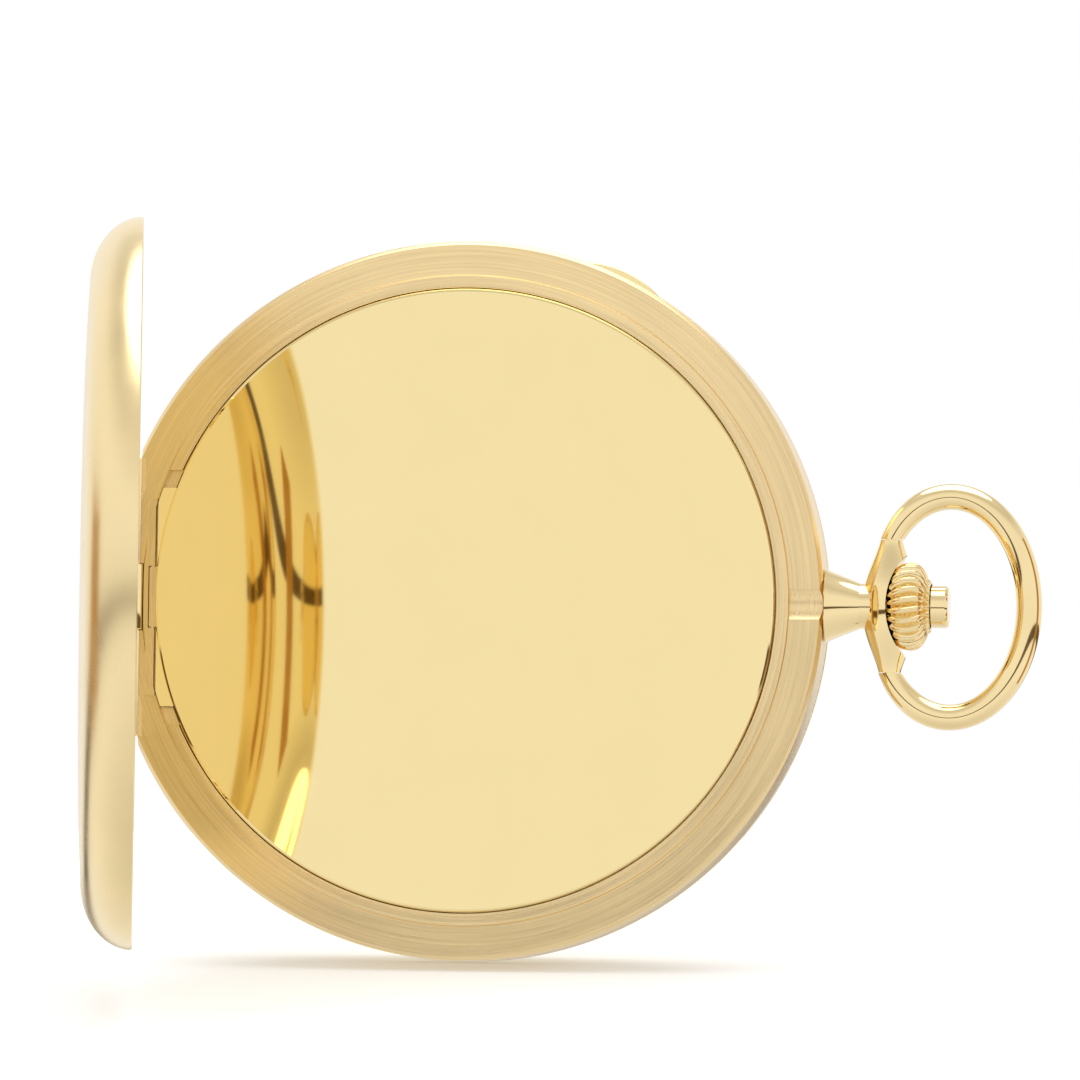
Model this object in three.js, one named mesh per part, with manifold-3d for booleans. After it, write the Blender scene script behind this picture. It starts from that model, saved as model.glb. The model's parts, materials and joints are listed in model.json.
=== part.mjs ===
// Hunter-case pocket watch with its back cover open, in millimetres with +Z up.
// The watch axis is Y: the front cover faces +Y, the back cover -Y, the pendant +X, the hinges -X.
// Depth is counted from the flat of the front cover towards the back, so y = -depth.
import * as THREE from 'three';
import { mergeVertices } from 'three/addons/utils/BufferGeometryUtils.js';
import Module from 'manifold-3d';

const wasm = await Module();
wasm.setup();

// ---------------------------------------------------------------- driving dimensions
const CASE_R = 24;
const COVER_HEIGHT = 3.8;
const SHEET = 0.5;
const FRONT_RIM = COVER_HEIGHT;
const BACK_RIM = 8.6;
const BACK_OPEN_DEG = 82;
const CUVETTE_R = 20.8;
const STEM_DEPTH = 6.3;
const PLATE_R = 19.25;
const BRIDGE_R = 18.7;
const DIAL_R = 19.2;
const ROUND = 32;
const SMALL_ROUND = 10;

// Depth range of each layer of the movement, from the hands to the wheels under the cuvette.
const LAYER = {
  minuteHand: [3.75, 3.85],
  hourHand: [4.0, 4.1],
  secondsHand: [4.2, 4.28],
  dial: [4.4, 4.75],
  hourWheel: [4.82, 4.94],
  minuteWheel: [5.0, 5.15],
  plate: [5.2, 5.85],
  barrelTeeth: [5.95, 6.25],
  thirdWheel: [6.5, 6.65],
  fourthWheel: [6.82, 6.97],
  escapement: [7.1, 7.25],
  centreWheel: [7.1, 7.3],
  palletBridge: [7.32, 7.43],
  balance: [7.52, 7.75],
  hairspring: [7.8, 7.92],
  bridge: [7.5, 8.1],
  cock: [8.0, 8.35],
  ratchet: [8.14, 8.4],
  click: [8.14, 8.36],
  clickSpring: [8.12, 8.3],
};

// Hinges: an axis parallel to Z, cut into knuckles, the middle one on the cover.
const FRONT_HINGE = {
  x: -23.1, depth: FRONT_RIM + 0.05, knuckleR: 0.8, pinR: 0.35, pin: 10, length: 19.5, middle: 4.4,
};
const BACK_HINGE = {
  x: -22.0, depth: BACK_RIM, knuckleR: 0.36, pinR: 0.15, pin: 17.6, length: 18.6, middle: 4.4,
};
const CUVETTE_HINGE = {
  x: -20.95, depth: 8.75, knuckleR: 0.26, pinR: 0.1, pin: 13.2, length: 13.2, middle: 4.0,
};
const HINGE_GAP = 0.1;
const PIN_CLEARANCE = 0.05;

// Pendant, crown and bow, along +X at the depth of the stem.
const STEM_R = 0.6;
const NECK_BORE = 1.1;
const BOW_AXIS_X = 28.3;
const CROWN = { inner: 28.2, outer: 31.0, radius: 2.9, flutes: 22 };
const PUSHER = { radius: 1.4, outer: 32.2, rod: 0.3 };
const BOW = { wire: 0.87, halfX: 5.25, halfZ: 7.35, pivotZ: 5.15 };

// ---------------------------------------------------------------- looks
const LOOKS = {
  polishedGold: { color: 0xe6c98a, roughness: 0.12, metalness: 1 },
  brushedGold: { color: 0xdcb878, roughness: 0.35, metalness: 1 },
  mirrorGold: { color: 0xf0dca0, roughness: 0.05, metalness: 1 },
  gilt: { color: 0xd8b060, roughness: 0.4, metalness: 1 },
  brass: { color: 0xc9a24e, roughness: 0.3, metalness: 1 },
  steel: { color: 0xb8bcc2, roughness: 0.25, metalness: 1 },
  bluedSteel: { color: 0x1c2c6c, roughness: 0.25, metalness: 1 },
  enamel: { color: 0xf6f4ee, roughness: 0.2, metalness: 0 },
  glass: { color: 0xf2f6f8, roughness: 0.02, metalness: 0, transparent: true, opacity: 0.25 },
};

const watch = new THREE.Group();

// Adds one named piece. Each piece owns its material.
function addPart(name, geometry, look, parent = watch) {
  const mesh = new THREE.Mesh(geometry, new THREE.MeshStandardMaterial(LOOKS[look]));
  mesh.name = name;
  parent.add(mesh);
}

// ---------------------------------------------------------------- plan geometry
const TAU = 2 * Math.PI;
const radians = THREE.MathUtils.degToRad;

// A point of the plan (x, z), its angle counted from +X towards +Z.
function polar(radius, angle) {
  return [radius * Math.cos(angle), radius * Math.sin(angle)];
}

function offset([x, z], [dx, dz]) {
  return [x + dx, z + dz];
}

function angleTo(from, to) {
  return Math.atan2(to[1] - from[1], to[0] - from[0]);
}

// ---------------------------------------------------------------- solids from three.js geometry
function toSolid(geometry) {
  const bare = geometry.clone();
  bare.deleteAttribute('normal');
  bare.deleteAttribute('uv');
  const merged = mergeVertices(bare, 1e-5);
  return new wasm.Manifold(new wasm.Mesh({
    numProp: 3,
    vertProperties: Float32Array.from(merged.attributes.position.array),
    triVerts: Uint32Array.from(merged.index.array),
  }));
}

function fromSolid(solid) {
  const mesh = solid.getMesh();
  const geometry = new THREE.BufferGeometry();
  geometry.setAttribute('position', new THREE.BufferAttribute(mesh.vertProperties, 3));
  geometry.setIndex(new THREE.BufferAttribute(mesh.triVerts, 1));
  geometry.computeVertexNormals();
  return geometry;
}

function join(...geometries) {
  return fromSolid(geometries.map(toSolid).reduce((sum, piece) => sum.add(piece)));
}

function cut(geometry, ...tools) {
  return fromSolid(tools.map(toSolid).reduce((rest, tool) => rest.subtract(tool), toSolid(geometry)));
}

function common(geometryA, geometryB) {
  return fromSolid(toSolid(geometryA).intersect(toSolid(geometryB)));
}

// Revolves a closed outline of [radius, height] points about Y, whichever way round it is listed.
function lathe(outline, segments = ROUND) {
  const points = outline.map(([radius, height]) => new THREE.Vector2(radius, height));
  if (THREE.ShapeUtils.area(points) < 0) points.reverse();
  const meetsAxis = points.some((point) => point.x === 0);
  if (meetsAxis) {
    while (points[0].x !== 0 || points[points.length - 1].x !== 0) points.push(points.shift());
  } else {
    points.push(points[0].clone());
  }
  return new THREE.LatheGeometry(points, segments);
}

// The same about the watch axis, from [radius, depth] points.
function revolve(outline, segments = ROUND) {
  return lathe(outline.map(([radius, depth]) => [radius, -depth]), segments);
}

// The same about the stem, from [radius, x] points.
function revolveStem(outline, segments = SMALL_ROUND) {
  return lathe(outline, segments).rotateZ(-Math.PI / 2).translate(0, -STEM_DEPTH, 0);
}

// Extrudes a plan shape over a depth range.
function plate(shape, [near, far], curveSegments = SMALL_ROUND) {
  const flat = new THREE.ExtrudeGeometry(shape, { depth: far - near, bevelEnabled: false, curveSegments });
  return flat.rotateX(Math.PI / 2).translate(0, -near, 0);
}

function block([x0, x1], [near, far], [z0, z1]) {
  const box = new THREE.BoxGeometry(x1 - x0, far - near, z1 - z0);
  return box.translate((x0 + x1) / 2, -(near + far) / 2, (z0 + z1) / 2);
}

// A round bar or boss parallel to the watch axis.
function boss([x, z], radius, [near, far], segments = SMALL_ROUND) {
  const bar = new THREE.CylinderGeometry(radius, radius, far - near, segments);
  return bar.translate(x, -(near + far) / 2, z);
}

// A round bar parallel to Z.
function barZ(x, depth, radius, [z0, z1], segments = SMALL_ROUND) {
  const bar = new THREE.CylinderGeometry(radius, radius, z1 - z0, segments).rotateX(Math.PI / 2);
  return bar.translate(x, -depth, (z0 + z1) / 2);
}

// A round bar parallel to X at the depth of the stem.
function barX(radius, [x0, x1], segments = SMALL_ROUND) {
  return revolveStem([[0, x0], [radius, x0], [radius, x1], [0, x1]], segments);
}

function disc(radius, [x, z] = [0, 0], segments = ROUND) {
  const points = [];
  for (let i = 0; i < segments; i++) {
    points.push(new THREE.Vector2(...offset([x, z], polar(radius, (i * TAU) / segments))));
  }
  return new THREE.Shape(points);
}

function polygon(points) {
  return new THREE.Shape(points.map(([x, z]) => new THREE.Vector2(x, z)));
}

// A link between two round ends, drawn as the outline around both.
function link(from, fromR, to, toR) {
  const angle = angleTo(from, to);
  const points = [];
  for (let i = 0; i <= 6; i++) {
    points.push(offset(from, polar(fromR, angle + Math.PI / 2 + (i * Math.PI) / 6)));
  }
  for (let i = 0; i <= 6; i++) {
    points.push(offset(to, polar(toR, angle - Math.PI / 2 + (i * Math.PI) / 6)));
  }
  return polygon(points);
}

// A strip that follows the given centre line in the plan.
function strip(centreLine, width) {
  const sides = [[], []];
  centreLine.forEach((point, i) => {
    const before = centreLine[Math.max(i - 1, 0)];
    const after = centreLine[Math.min(i + 1, centreLine.length - 1)];
    const across = angleTo(before, after) + Math.PI / 2;
    sides[0].push(offset(point, polar(width / 2, across)));
    sides[1].unshift(offset(point, polar(-width / 2, across)));
  });
  return polygon([...sides[0], ...sides[1]]);
}

function arcLine(centre, radius, start, end, steps) {
  const line = [];
  for (let i = 0; i <= steps; i++) {
    line.push(offset(centre, polar(radius, start + ((end - start) * i) / steps)));
  }
  return line;
}

function spiralLine(centre, innerR, outerR, turns, stepsPerTurn) {
  const line = [];
  const steps = Math.round(turns * stepsPerTurn);
  for (let i = 0; i <= steps; i++) {
    const radius = innerR + ((outerR - innerR) * i) / steps;
    line.push(offset(centre, polar(radius, (i * TAU) / stepsPerTurn)));
  }
  return line;
}

// ---------------------------------------------------------------- hinges
// A knuckle: a tube round the hinge axis between two heights.
function knuckle(hinge, span) {
  return barZ(hinge.x, hinge.depth, hinge.knuckleR, span);
}

function pinBore(hinge) {
  return barZ(hinge.x, hinge.depth, hinge.pinR + PIN_CLEARANCE, [-hinge.length, hinge.length]);
}

function hingePin(hinge) {
  return barZ(hinge.x, hinge.depth, hinge.pinR, [-hinge.pin / 2, hinge.pin / 2]);
}

// The round trough that leaves room for the knuckles.
function trough(hinge, radius) {
  const half = hinge.length / 2 + HINGE_GAP;
  return barZ(hinge.x, hinge.depth, radius, [-half, half], 16);
}

// The two outer knuckles with their webs, filed flush with the round of the case.
function fixedKnuckles(hinge, webX, webDepth) {
  const inner = hinge.middle / 2 + HINGE_GAP;
  const spans = [[inner, hinge.length / 2], [-hinge.length / 2, -inner]];
  const pieces = spans.flatMap((span) => [knuckle(hinge, span), block(webX, webDepth, span)]);
  return common(join(...pieces), boss([0, 0], CASE_R, [0, 2 * CASE_R], 2 * ROUND));
}

// A group that turns its pieces about a hinge; they keep the closed watch's coordinates.
function openedAbout(hinge, degrees) {
  const leaf = new THREE.Group();
  leaf.position.set(hinge.x, -hinge.depth, 0);
  leaf.rotation.z = radians(degrees);
  const closedFrame = new THREE.Group();
  closedFrame.position.set(-hinge.x, hinge.depth, 0);
  leaf.add(closedFrame);
  watch.add(leaf);
  return closedFrame;
}

// ---------------------------------------------------------------- covers
const DOME = { flatR: 8, shoulderR: 19.6, shoulderHeight: 3.45, wall: 0.6 };

// Half outline of a cover's dome: a flat, a gentle cone and an elliptical shoulder down to the rim.
function domeLine(inset) {
  const top = COVER_HEIGHT - inset;
  const semiR = CASE_R - DOME.shoulderR - (inset > 0 ? DOME.wall : 0);
  const ellipse = new THREE.EllipseCurve(
    DOME.shoulderR, 0, semiR, DOME.shoulderHeight - inset, Math.PI / 2, 0, true);
  const shoulder = ellipse.getPoints(5).map((point) => [point.x, Math.max(point.y, 0)]);
  return [[0, top], [DOME.flatR, top], ...shoulder];
}

// A cover on the given rim plane; `side` is 1 towards the back and -1 towards the front.
function coverShell(rim, side) {
  const outline = [...domeLine(0), ...domeLine(SHEET).reverse()];
  return revolve(outline.map(([radius, height]) => [radius, rim + side * height]));
}

function coverEnvelope(rim, side) {
  const outline = [...domeLine(0), [0, 0]];
  return revolve(outline.map(([radius, height]) => [radius, rim + side * height]));
}

// The middle knuckle and the web that joins it to the inside of the dome.
function coverKnuckle(hinge, rim, side) {
  const span = [-hinge.middle / 2, hinge.middle / 2];
  const webLength = 2.2;
  const webDepth = [hinge.depth, hinge.depth + side * webLength].sort((a, b) => a - b);
  const web = block([hinge.x - 0.5, hinge.x + 0.22], webDepth, span);
  return join(knuckle(hinge, span), common(web, coverEnvelope(rim, side)));
}

function cover(hinge, rim, side) {
  const shell = cut(coverShell(rim, side), trough(hinge, hinge.knuckleR + HINGE_GAP));
  return cut(join(shell, coverKnuckle(hinge, rim, side)), pinBore(hinge));
}

// A crescent that stands proud of the front cover's rim, for the thumb nail.
function thumbLip() {
  const lip = { angle: radians(66.25), radius: 6.76, centreR: 17.69, depth: [3.2, 3.72] };
  const bulge = plate(disc(lip.radius, polar(lip.centreR, lip.angle)), lip.depth);
  return cut(bulge, boss([0, 0], CASE_R - 0.4, [3, 4], ROUND));
}

function frontCover() {
  const catchTab = block([22.62, 23.7], [3.3, 3.6], [-2.2, -1.3]);
  return join(cover(FRONT_HINGE, FRONT_RIM, -1), thumbLip(), catchTab);
}

addPart('front_cover', frontCover(), 'polishedGold');
const backCover = cover(BACK_HINGE, BACK_RIM, 1);
addPart('back_cover', backCover, 'polishedGold', openedAbout(BACK_HINGE, -BACK_OPEN_DEG));
addPart('front_hinge_pin', hingePin(FRONT_HINGE), 'polishedGold');
addPart('back_hinge_pin', hingePin(BACK_HINGE), 'polishedGold');
addPart('cuvette_hinge_pin', hingePin(CUVETTE_HINGE), 'polishedGold');

// The dust cover: a shallow pan with a straight edge along its hinge.
function cuvette() {
  const pan = revolve([
    [0, 9.25], [10, 9.2], [18, 9.08], [20.3, 9.0], [20.7, 8.87], [CUVETTE_R, 8.72], [CUVETTE_R, 8.15],
    [20.35, 8.15], [20.35, 8.55], [18, 8.65], [10, 8.78], [0, 8.83],
  ]);
  const half = CUVETTE_HINGE.length / 2;
  const tab = block([-20.7, -19.2], [8.62, 8.95], [-half, half]);
  const middle = CUVETTE_HINGE.middle / 2;
  const web = block([CUVETTE_HINGE.x, -20.3], [8.62, 8.95], [-middle, middle]);
  const plain = cut(join(pan, tab), trough(CUVETTE_HINGE, CUVETTE_HINGE.knuckleR + HINGE_GAP));
  return cut(join(plain, web, knuckle(CUVETTE_HINGE, [-middle, middle])), pinBore(CUVETTE_HINGE));
}

addPart('cuvette', cuvette(), 'mirrorGold');

// ---------------------------------------------------------------- case band, bezel and crystal
// The slot that the lock spring's nose moves in, through the band and the edge of the bezel.
function noseSlot() {
  return block([21.15, 22.6], [3.2, 5.5], [-2.6, -0.9]);
}

// The flat that the band is cut to beside the back hinge, so that the open cover's rim can swing in.
function rimRecess() {
  const chordX = -21.87;
  const sweep = 2.35;
  const swept = barZ(BACK_HINGE.x, BACK_HINGE.depth, sweep, [-10, 10], 24);
  return common(swept, block([-25, chordX], [5, 10], [-11, 11]));
}

// The ring of the case: its outer wall, the rear rim, the cuvette's seat, the movement's ledge and
// the groove that holds the case springs.
function caseBand() {
  const outerWall = [[23.7, 3.95], [CASE_R, 4.3], [CASE_R, 7.75], [23.65, 8.35]];
  const rearRim = [[21.72, 8.5], [21.65, 8.72], [20.95, 8.78]];
  const cuvetteSeat = [[20.95, 8.1], [19.6, 8.1], [19.6, 6.45]];
  const movementLedge = [[18.95, 6.45], [18.95, 5.92]];
  const springGroove = [[22.1, 5.92], [22.1, 4.75], [21.5, 4.75], [21.5, 3.95]];
  const ring = revolve([...outerWall, ...rearRim, ...cuvetteSeat, ...movementLedge, ...springGroove]);
  const cuvetteHalf = CUVETTE_HINGE.length / 2 + HINGE_GAP;
  const cuvetteRecess = block([-20.8, -19], [8.1, 9], [-cuvetteHalf, cuvetteHalf]);
  const middleHalf = BACK_HINGE.middle / 2 + HINGE_GAP;
  const middleRoom = BACK_HINGE.knuckleR + HINGE_GAP;
  const middleTrough = barZ(BACK_HINGE.x, BACK_HINGE.depth, middleRoom, [-middleHalf, middleHalf], 16);
  const neckBore = barX(1.75, [21, 25], 16);
  const lockPocket = block([18.8, 21.9], [4.7, 7.85], [-2.4, 2.4]);
  const rimNotch = barX(1.2, [21.8, 24.5], 16).translate(0, STEM_DEPTH - 9.2, 0);
  const liftSlot = block([-21.9, -21.0], [3.8, 5.1], [3.6, 5.8]);
  const tools = [
    trough(FRONT_HINGE, 1.2),
    rimRecess(),
    middleTrough,
    trough(CUVETTE_HINGE, CUVETTE_HINGE.knuckleR + HINGE_GAP),
    cuvetteRecess, neckBore, lockPocket, noseSlot(), rimNotch, liftSlot,
  ];
  const knuckles = [
    fixedKnuckles(FRONT_HINGE, [-22.9, -21.7], [4.0, 5.2]),
    fixedKnuckles(BACK_HINGE, [-21.92, -21.6], [8.1, BACK_HINGE.depth]),
    fixedKnuckles(CUVETTE_HINGE, [-21.4, -20.95], [8.3, CUVETTE_HINGE.depth]),
  ];
  const bores = [pinBore(FRONT_HINGE), pinBore(BACK_HINGE), pinBore(CUVETTE_HINGE)];
  return cut(join(cut(ring, ...tools), ...knuckles), ...bores);
}

addPart('case_band', caseBand(), 'brushedGold');

// The bezel: a rounded lip over the crystal, a flange on the band and a sleeve inside it.
const bezelLip = [[20.0, 2.7], [20.6, 2.45], [21.3, 2.85], [21.7, 3.5]];
const bezelSeat = [[21.7, 3.85], [21.4, 3.85], [21.4, 4.6], [19.8, 4.6]];
const crystalSeat = [[19.8, 3.48], [20.5, 3.48], [20.5, 2.88], [20.0, 2.88]];
const bezelRing = revolve([...bezelLip, ...bezelSeat, ...crystalSeat]);
addPart('bezel', cut(bezelRing, noseSlot()), 'polishedGold');

const crystal = revolve([
  [0, 1.7], [12, 2.1], [20.4, 3.02], [20.4, 3.42], [19.6, 3.42], [12, 2.7], [0, 2.3],
]);
addPart('crystal', crystal, 'glass');

// ---------------------------------------------------------------- case springs
const LEAF = {
  radius: 21.45, thickness: 0.35, lockStart: -34, lockEnd: -5.5, liftStart: 118, liftEnd: 166,
};

function leaf(startDegrees, endDegrees, depth) {
  const centreLine = arcLine([0, 0], LEAF.radius, radians(startDegrees), radians(endDegrees), 8);
  return plate(strip(centreLine, LEAF.thickness), depth);
}

// Holds the front cover shut; its eye stands round the stem and its nose under the cover's tab.
function lockSpring() {
  const spring = leaf(LEAF.lockStart, LEAF.lockEnd, [4.85, 5.75]);
  const eye = cut(revolveStem([[0, 20.6], [1.5, 20.6], [1.5, 20.9], [0, 20.9]]), barX(0.95, [20, 22]));
  const neck = block([20.6, 21.5], [4.85, 5.75], [-2.3, -2.0]);
  const bridge = block([20.6, 20.9], [4.95, 5.75], [-2.3, -1.0]);
  const nose = block([21.85, 22.2], [3.05, 5.2], [-2.15, -1.35]);
  const noseRoot = block([21.2, 22.2], [4.9, 5.2], [-2.15, -1.35]);
  const noseTip = block([21.85, 22.5], [3.05, 3.28], [-2.15, -1.35]);
  const foot = boss(polar(LEAF.radius - 0.35, radians(LEAF.lockStart)), 0.7, [4.85, 5.75]);
  return join(spring, eye, neck, bridge, nose, noseRoot, noseTip, foot);
}

// Lifts the front cover when the lock lets go; its finger reaches up beside the hinge.
function liftSpring() {
  const spring = leaf(LEAF.liftStart, LEAF.liftEnd, [5.15, 5.85]);
  const foot = boss(polar(LEAF.radius - 0.35, radians(LEAF.liftStart)), 0.7, [5.15, 5.85]);
  const [fingerX, fingerZ] = polar(21.75, radians(168));
  const finger = block([fingerX - 0.15, fingerX + 0.15], [4.1, 5.7], [fingerZ - 0.4, fingerZ + 0.9]);
  const fingerRoot = block([fingerX - 0.1, fingerX + 0.7], [5.2, 5.7], [fingerZ + 0.3, fingerZ + 0.9]);
  return join(spring, foot, finger, fingerRoot);
}

addPart('lock_spring', lockSpring(), 'steel');
addPart('lift_spring', liftSpring(), 'steel');

// ---------------------------------------------------------------- pendant, bow and crown
const neck = revolveStem([
  [1.6, 21.95], [1.6, 24.05], [2.375, 24.05], [2.3, 24.35], [1.85, 24.9], [1.65, 25.6], [1.65, 26.35],
  [NECK_BORE, 26.35], [NECK_BORE, 21.95],
], 16);
addPart('pendant_neck', neck, 'polishedGold');

// The head that carries the bow: a spindle along Z, hollowed for the crown.
function bowHolder() {
  const ends = 4.4;
  const outline = [[0, -ends]];
  for (let i = 0; i <= 8; i++) {
    const z = ends * (i / 4 - 1);
    outline.push([0.72 + 1.15 * Math.cos((z / ends) * (Math.PI / 2)) ** 1.4, z]);
  }
  outline.push([0, ends]);
  const spindle = lathe(outline, 16).rotateX(Math.PI / 2).translate(BOW_AXIS_X, -STEM_DEPTH, 0);
  const crownHollow = new THREE.SphereGeometry(4.25, 16, 12).translate(31.9, -STEM_DEPTH, 0);
  const stemBore = barX(NECK_BORE, [25, 30]);
  const pinBores = barZ(BOW_AXIS_X, STEM_DEPTH, 0.45, [-5, 5]);
  return cut(spindle, crownHollow, stemBore, pinBores, barX(3, [20, 26.45], 16));
}

addPart('bow_holder', bowHolder(), 'polishedGold');

// The bow: an oval wire that starts at one pivot eye and ends at the other.
function bow() {
  const sweep = Math.PI - Math.asin(BOW.pivotZ / BOW.halfZ);
  const centreX = BOW_AXIS_X - BOW.halfX * Math.cos(sweep);
  const points = [];
  for (let i = 0; i <= 16; i++) {
    const angle = sweep * (i / 8 - 1);
    points.push(new THREE.Vector3(
      centreX + BOW.halfX * Math.cos(angle), -STEM_DEPTH, BOW.halfZ * Math.sin(angle)));
  }
  const path = new THREE.CatmullRomCurve3(points);
  const wire = new THREE.ExtrudeGeometry(disc(BOW.wire, [0, 0], 8), { steps: 20, extrudePath: path });
  const eyes = [4.55, -5.75].map((z) => barZ(BOW_AXIS_X, STEM_DEPTH, 1.0, [z, z + 1.2]));
  const tools = [
    barZ(BOW_AXIS_X, STEM_DEPTH, 0.45, [-8, 8]),
    barZ(BOW_AXIS_X, STEM_DEPTH, 1.9, [-4.5, 4.5]),
  ];
  return cut(join(wire, ...eyes), ...tools);
}

addPart('bow', bow(), 'polishedGold');
addPart('bow_pin_upper', barZ(BOW_AXIS_X, STEM_DEPTH, 0.4, [3.2, 6.1]), 'polishedGold');
addPart('bow_pin_lower', barZ(BOW_AXIS_X, STEM_DEPTH, 0.4, [-6.1, -3.2]), 'polishedGold');

// The crown: a fluted onion with a bore for the stem and a pocket for the pusher's cap.
function crown() {
  const { inner, outer, radius, flutes } = CROWN;
  const outline = [
    [0, inner], [1.7, inner], [2.5, inner + 0.45], [radius, inner + 1.2], [2.85, inner + 1.8],
    [2.3, outer - 0.35], [1.75, outer], [0, outer],
  ];
  const scallops = [];
  for (let i = 0; i < 2 * flutes; i++) {
    const depth = i % 2 ? 0.22 : 0;
    scallops.push(polar(radius - depth, (i * Math.PI) / flutes));
  }
  const bar = new THREE.ExtrudeGeometry(polygon(scallops), { depth: 4, bevelEnabled: false });
  bar.rotateY(Math.PI / 2).translate(inner - 0.5, -STEM_DEPTH, 0);
  const onion = common(revolveStem(outline, 24), bar);
  const stemHole = barX(STEM_R + 0.05, [inner - 1, outer - 1.4]);
  const rodHole = barX(PUSHER.rod + 0.08, [inner - 1, outer + 1]);
  const pocket = barX(PUSHER.radius + 0.06, [outer - 1.0, outer + 1], 16);
  return cut(onion, stemHole, rodHole, pocket);
}

addPart('crown', crown(), 'polishedGold');

// The pusher: a cap in the crown, a rod inside the stem and a cross pin against the lock spring's eye.
function pusher() {
  const cap = revolveStem([[0, 31.05], [1.4, 31.05], [1.4, 31.9], [1.2, 32.2], [0, 32.2]], 16);
  const rod = barX(PUSHER.rod, [21.0, 31.2], 8);
  const crossPin = barZ(21.22, STEM_DEPTH, 0.15, [-1.0, 1.0], 8);
  return join(cap, rod, crossPin);
}

addPart('pusher', pusher(), 'polishedGold');

// The stem: square end in the winding arbor, hollow towards the crown, slotted for the cross pin.
function windingStem() {
  const bar = revolveStem([
    [0, 16.3], [0.4, 16.3], [0.4, 18.9], [STEM_R, 19.1], [STEM_R, 29.5], [0, 29.5],
  ]);
  const hollow = barX(PUSHER.rod + 0.08, [20.2, 30], 8);
  const slot = block([20.4, 21.5], [STEM_DEPTH - 0.2, STEM_DEPTH + 0.2], [-1, 1]);
  return cut(bar, hollow, slot);
}

addPart('winding_stem', windingStem(), 'steel');

// ---------------------------------------------------------------- gear train
const ADDENDUM = 0.95;
const DEDENDUM = 1.15;

// Pitch radius of a wheel.
function pitch(wheel) {
  return (wheel.teeth * wheel.module) / 2;
}

// Outline of a wheel with pointed teeth; one tooth points at the angle `phase`.
function gearShape({ teeth, module, at, phase }) {
  const wheel = { teeth, module };
  const tipR = pitch(wheel) + ADDENDUM * module;
  const rootR = pitch(wheel) - DEDENDUM * module;
  const points = [];
  for (let i = 0; i < teeth; i++) {
    const tip = phase + (i * TAU) / teeth;
    points.push(offset(at, polar(tipR, tip)));
    points.push(offset(at, polar(rootR, tip + Math.PI / teeth)));
  }
  return polygon(points);
}

// Cuts openings between the arms of a wheel.
function crossings(shape, at, innerR, outerR, arms) {
  const share = TAU / arms;
  const halfGap = share / 2 - 0.16;
  for (let i = 0; i < arms; i++) {
    const middle = (i + 0.5) * share;
    const outer = arcLine(at, outerR, middle - halfGap, middle + halfGap, 3);
    const inner = arcLine(at, innerR, middle + halfGap * 0.6, middle - halfGap * 0.6, 1);
    shape.holes.push(polygon([...outer, ...inner]));
  }
  return shape;
}

// Phase that puts a gap of the driven wheel where the driver has a tooth.
function meshed(driver, driven) {
  const line = angleTo(driver.at, driven.at);
  const driverShare = ((line - driver.phase) * driver.teeth) / TAU;
  return line + Math.PI - ((0.5 - driverShare) * TAU) / driven.teeth;
}

// Places a wheel in mesh with its driver, in the given direction from it.
function inMesh(driver, angle, driven) {
  const wheel = { ...driven, at: offset(driver.at, polar(pitch(driver) + pitch(driven), angle)) };
  return { ...wheel, phase: meshed(driver, wheel) };
}

const SMALL_SECONDS_Z = 9.5;
const centrePinion = { teeth: 12, module: 0.22, at: [0, 0], phase: 0 };
const centreGear = { teeth: 64, module: 0.2, at: [0, 0], phase: 0 };
const barrelGear = inMesh(centrePinion, radians(-60), { teeth: 72, module: 0.22 });
const thirdReach = 7.2;
const fourthReach = 6.12;
const thirdAngle = Math.asin(
  (thirdReach ** 2 + SMALL_SECONDS_Z ** 2 - fourthReach ** 2) / (2 * thirdReach * SMALL_SECONDS_Z));
const thirdPinion = inMesh(centreGear, thirdAngle, { teeth: 8, module: 0.2 });
const thirdGear = { teeth: 60, module: 0.18, at: thirdPinion.at, phase: 0 };
const towardsSeconds = angleTo(thirdGear.at, [0, SMALL_SECONDS_Z]);
const fourthPinion = inMesh(thirdGear, towardsSeconds, { teeth: 8, module: 0.18 });
const fourthGear = { teeth: 60, module: 0.15, at: fourthPinion.at, phase: 0 };
const escapePinion = inMesh(fourthGear, Math.PI, { teeth: 6, module: 0.15 });

const BALANCE = { at: [-10.6, 2.6], outerR: 6.3, innerR: 5.6, clearR: 6.9 };
const ESCAPE_R = 2.6;
const PALLET_REACH = 3.4;
const towardsBalance = angleTo(escapePinion.at, BALANCE.at);
const PALLET_AT = offset(escapePinion.at, polar(PALLET_REACH, towardsBalance));

const RATCHET = { teeth: 42, module: 0.33, at: barrelGear.at, phase: 0 };
const CROWN_WHEEL = { teeth: 20, module: 0.33 };
const crownWheelReach = pitch(RATCHET) + pitch(CROWN_WHEEL);
CROWN_WHEEL.at = [RATCHET.at[0] + Math.sqrt(crownWheelReach ** 2 - RATCHET.at[1] ** 2), 0];
CROWN_WHEEL.phase = meshed(RATCHET, CROWN_WHEEL);
const CLICK_AT = [12.7, -11.2];

function barrelDrum() {
  const { at } = barrelGear;
  const floor = plate(gearShape(barrelGear), LAYER.barrelTeeth);
  const wall = revolve([[7.1, 6.2], [7.45, 6.2], [7.45, 7.0], [7.1, 7.0]], 24).translate(at[0], 0, at[1]);
  return cut(join(floor, wall), boss(at, 1.25, [5.5, 7.5]));
}

addPart('barrel_drum', barrelDrum(), 'brass');

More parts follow.
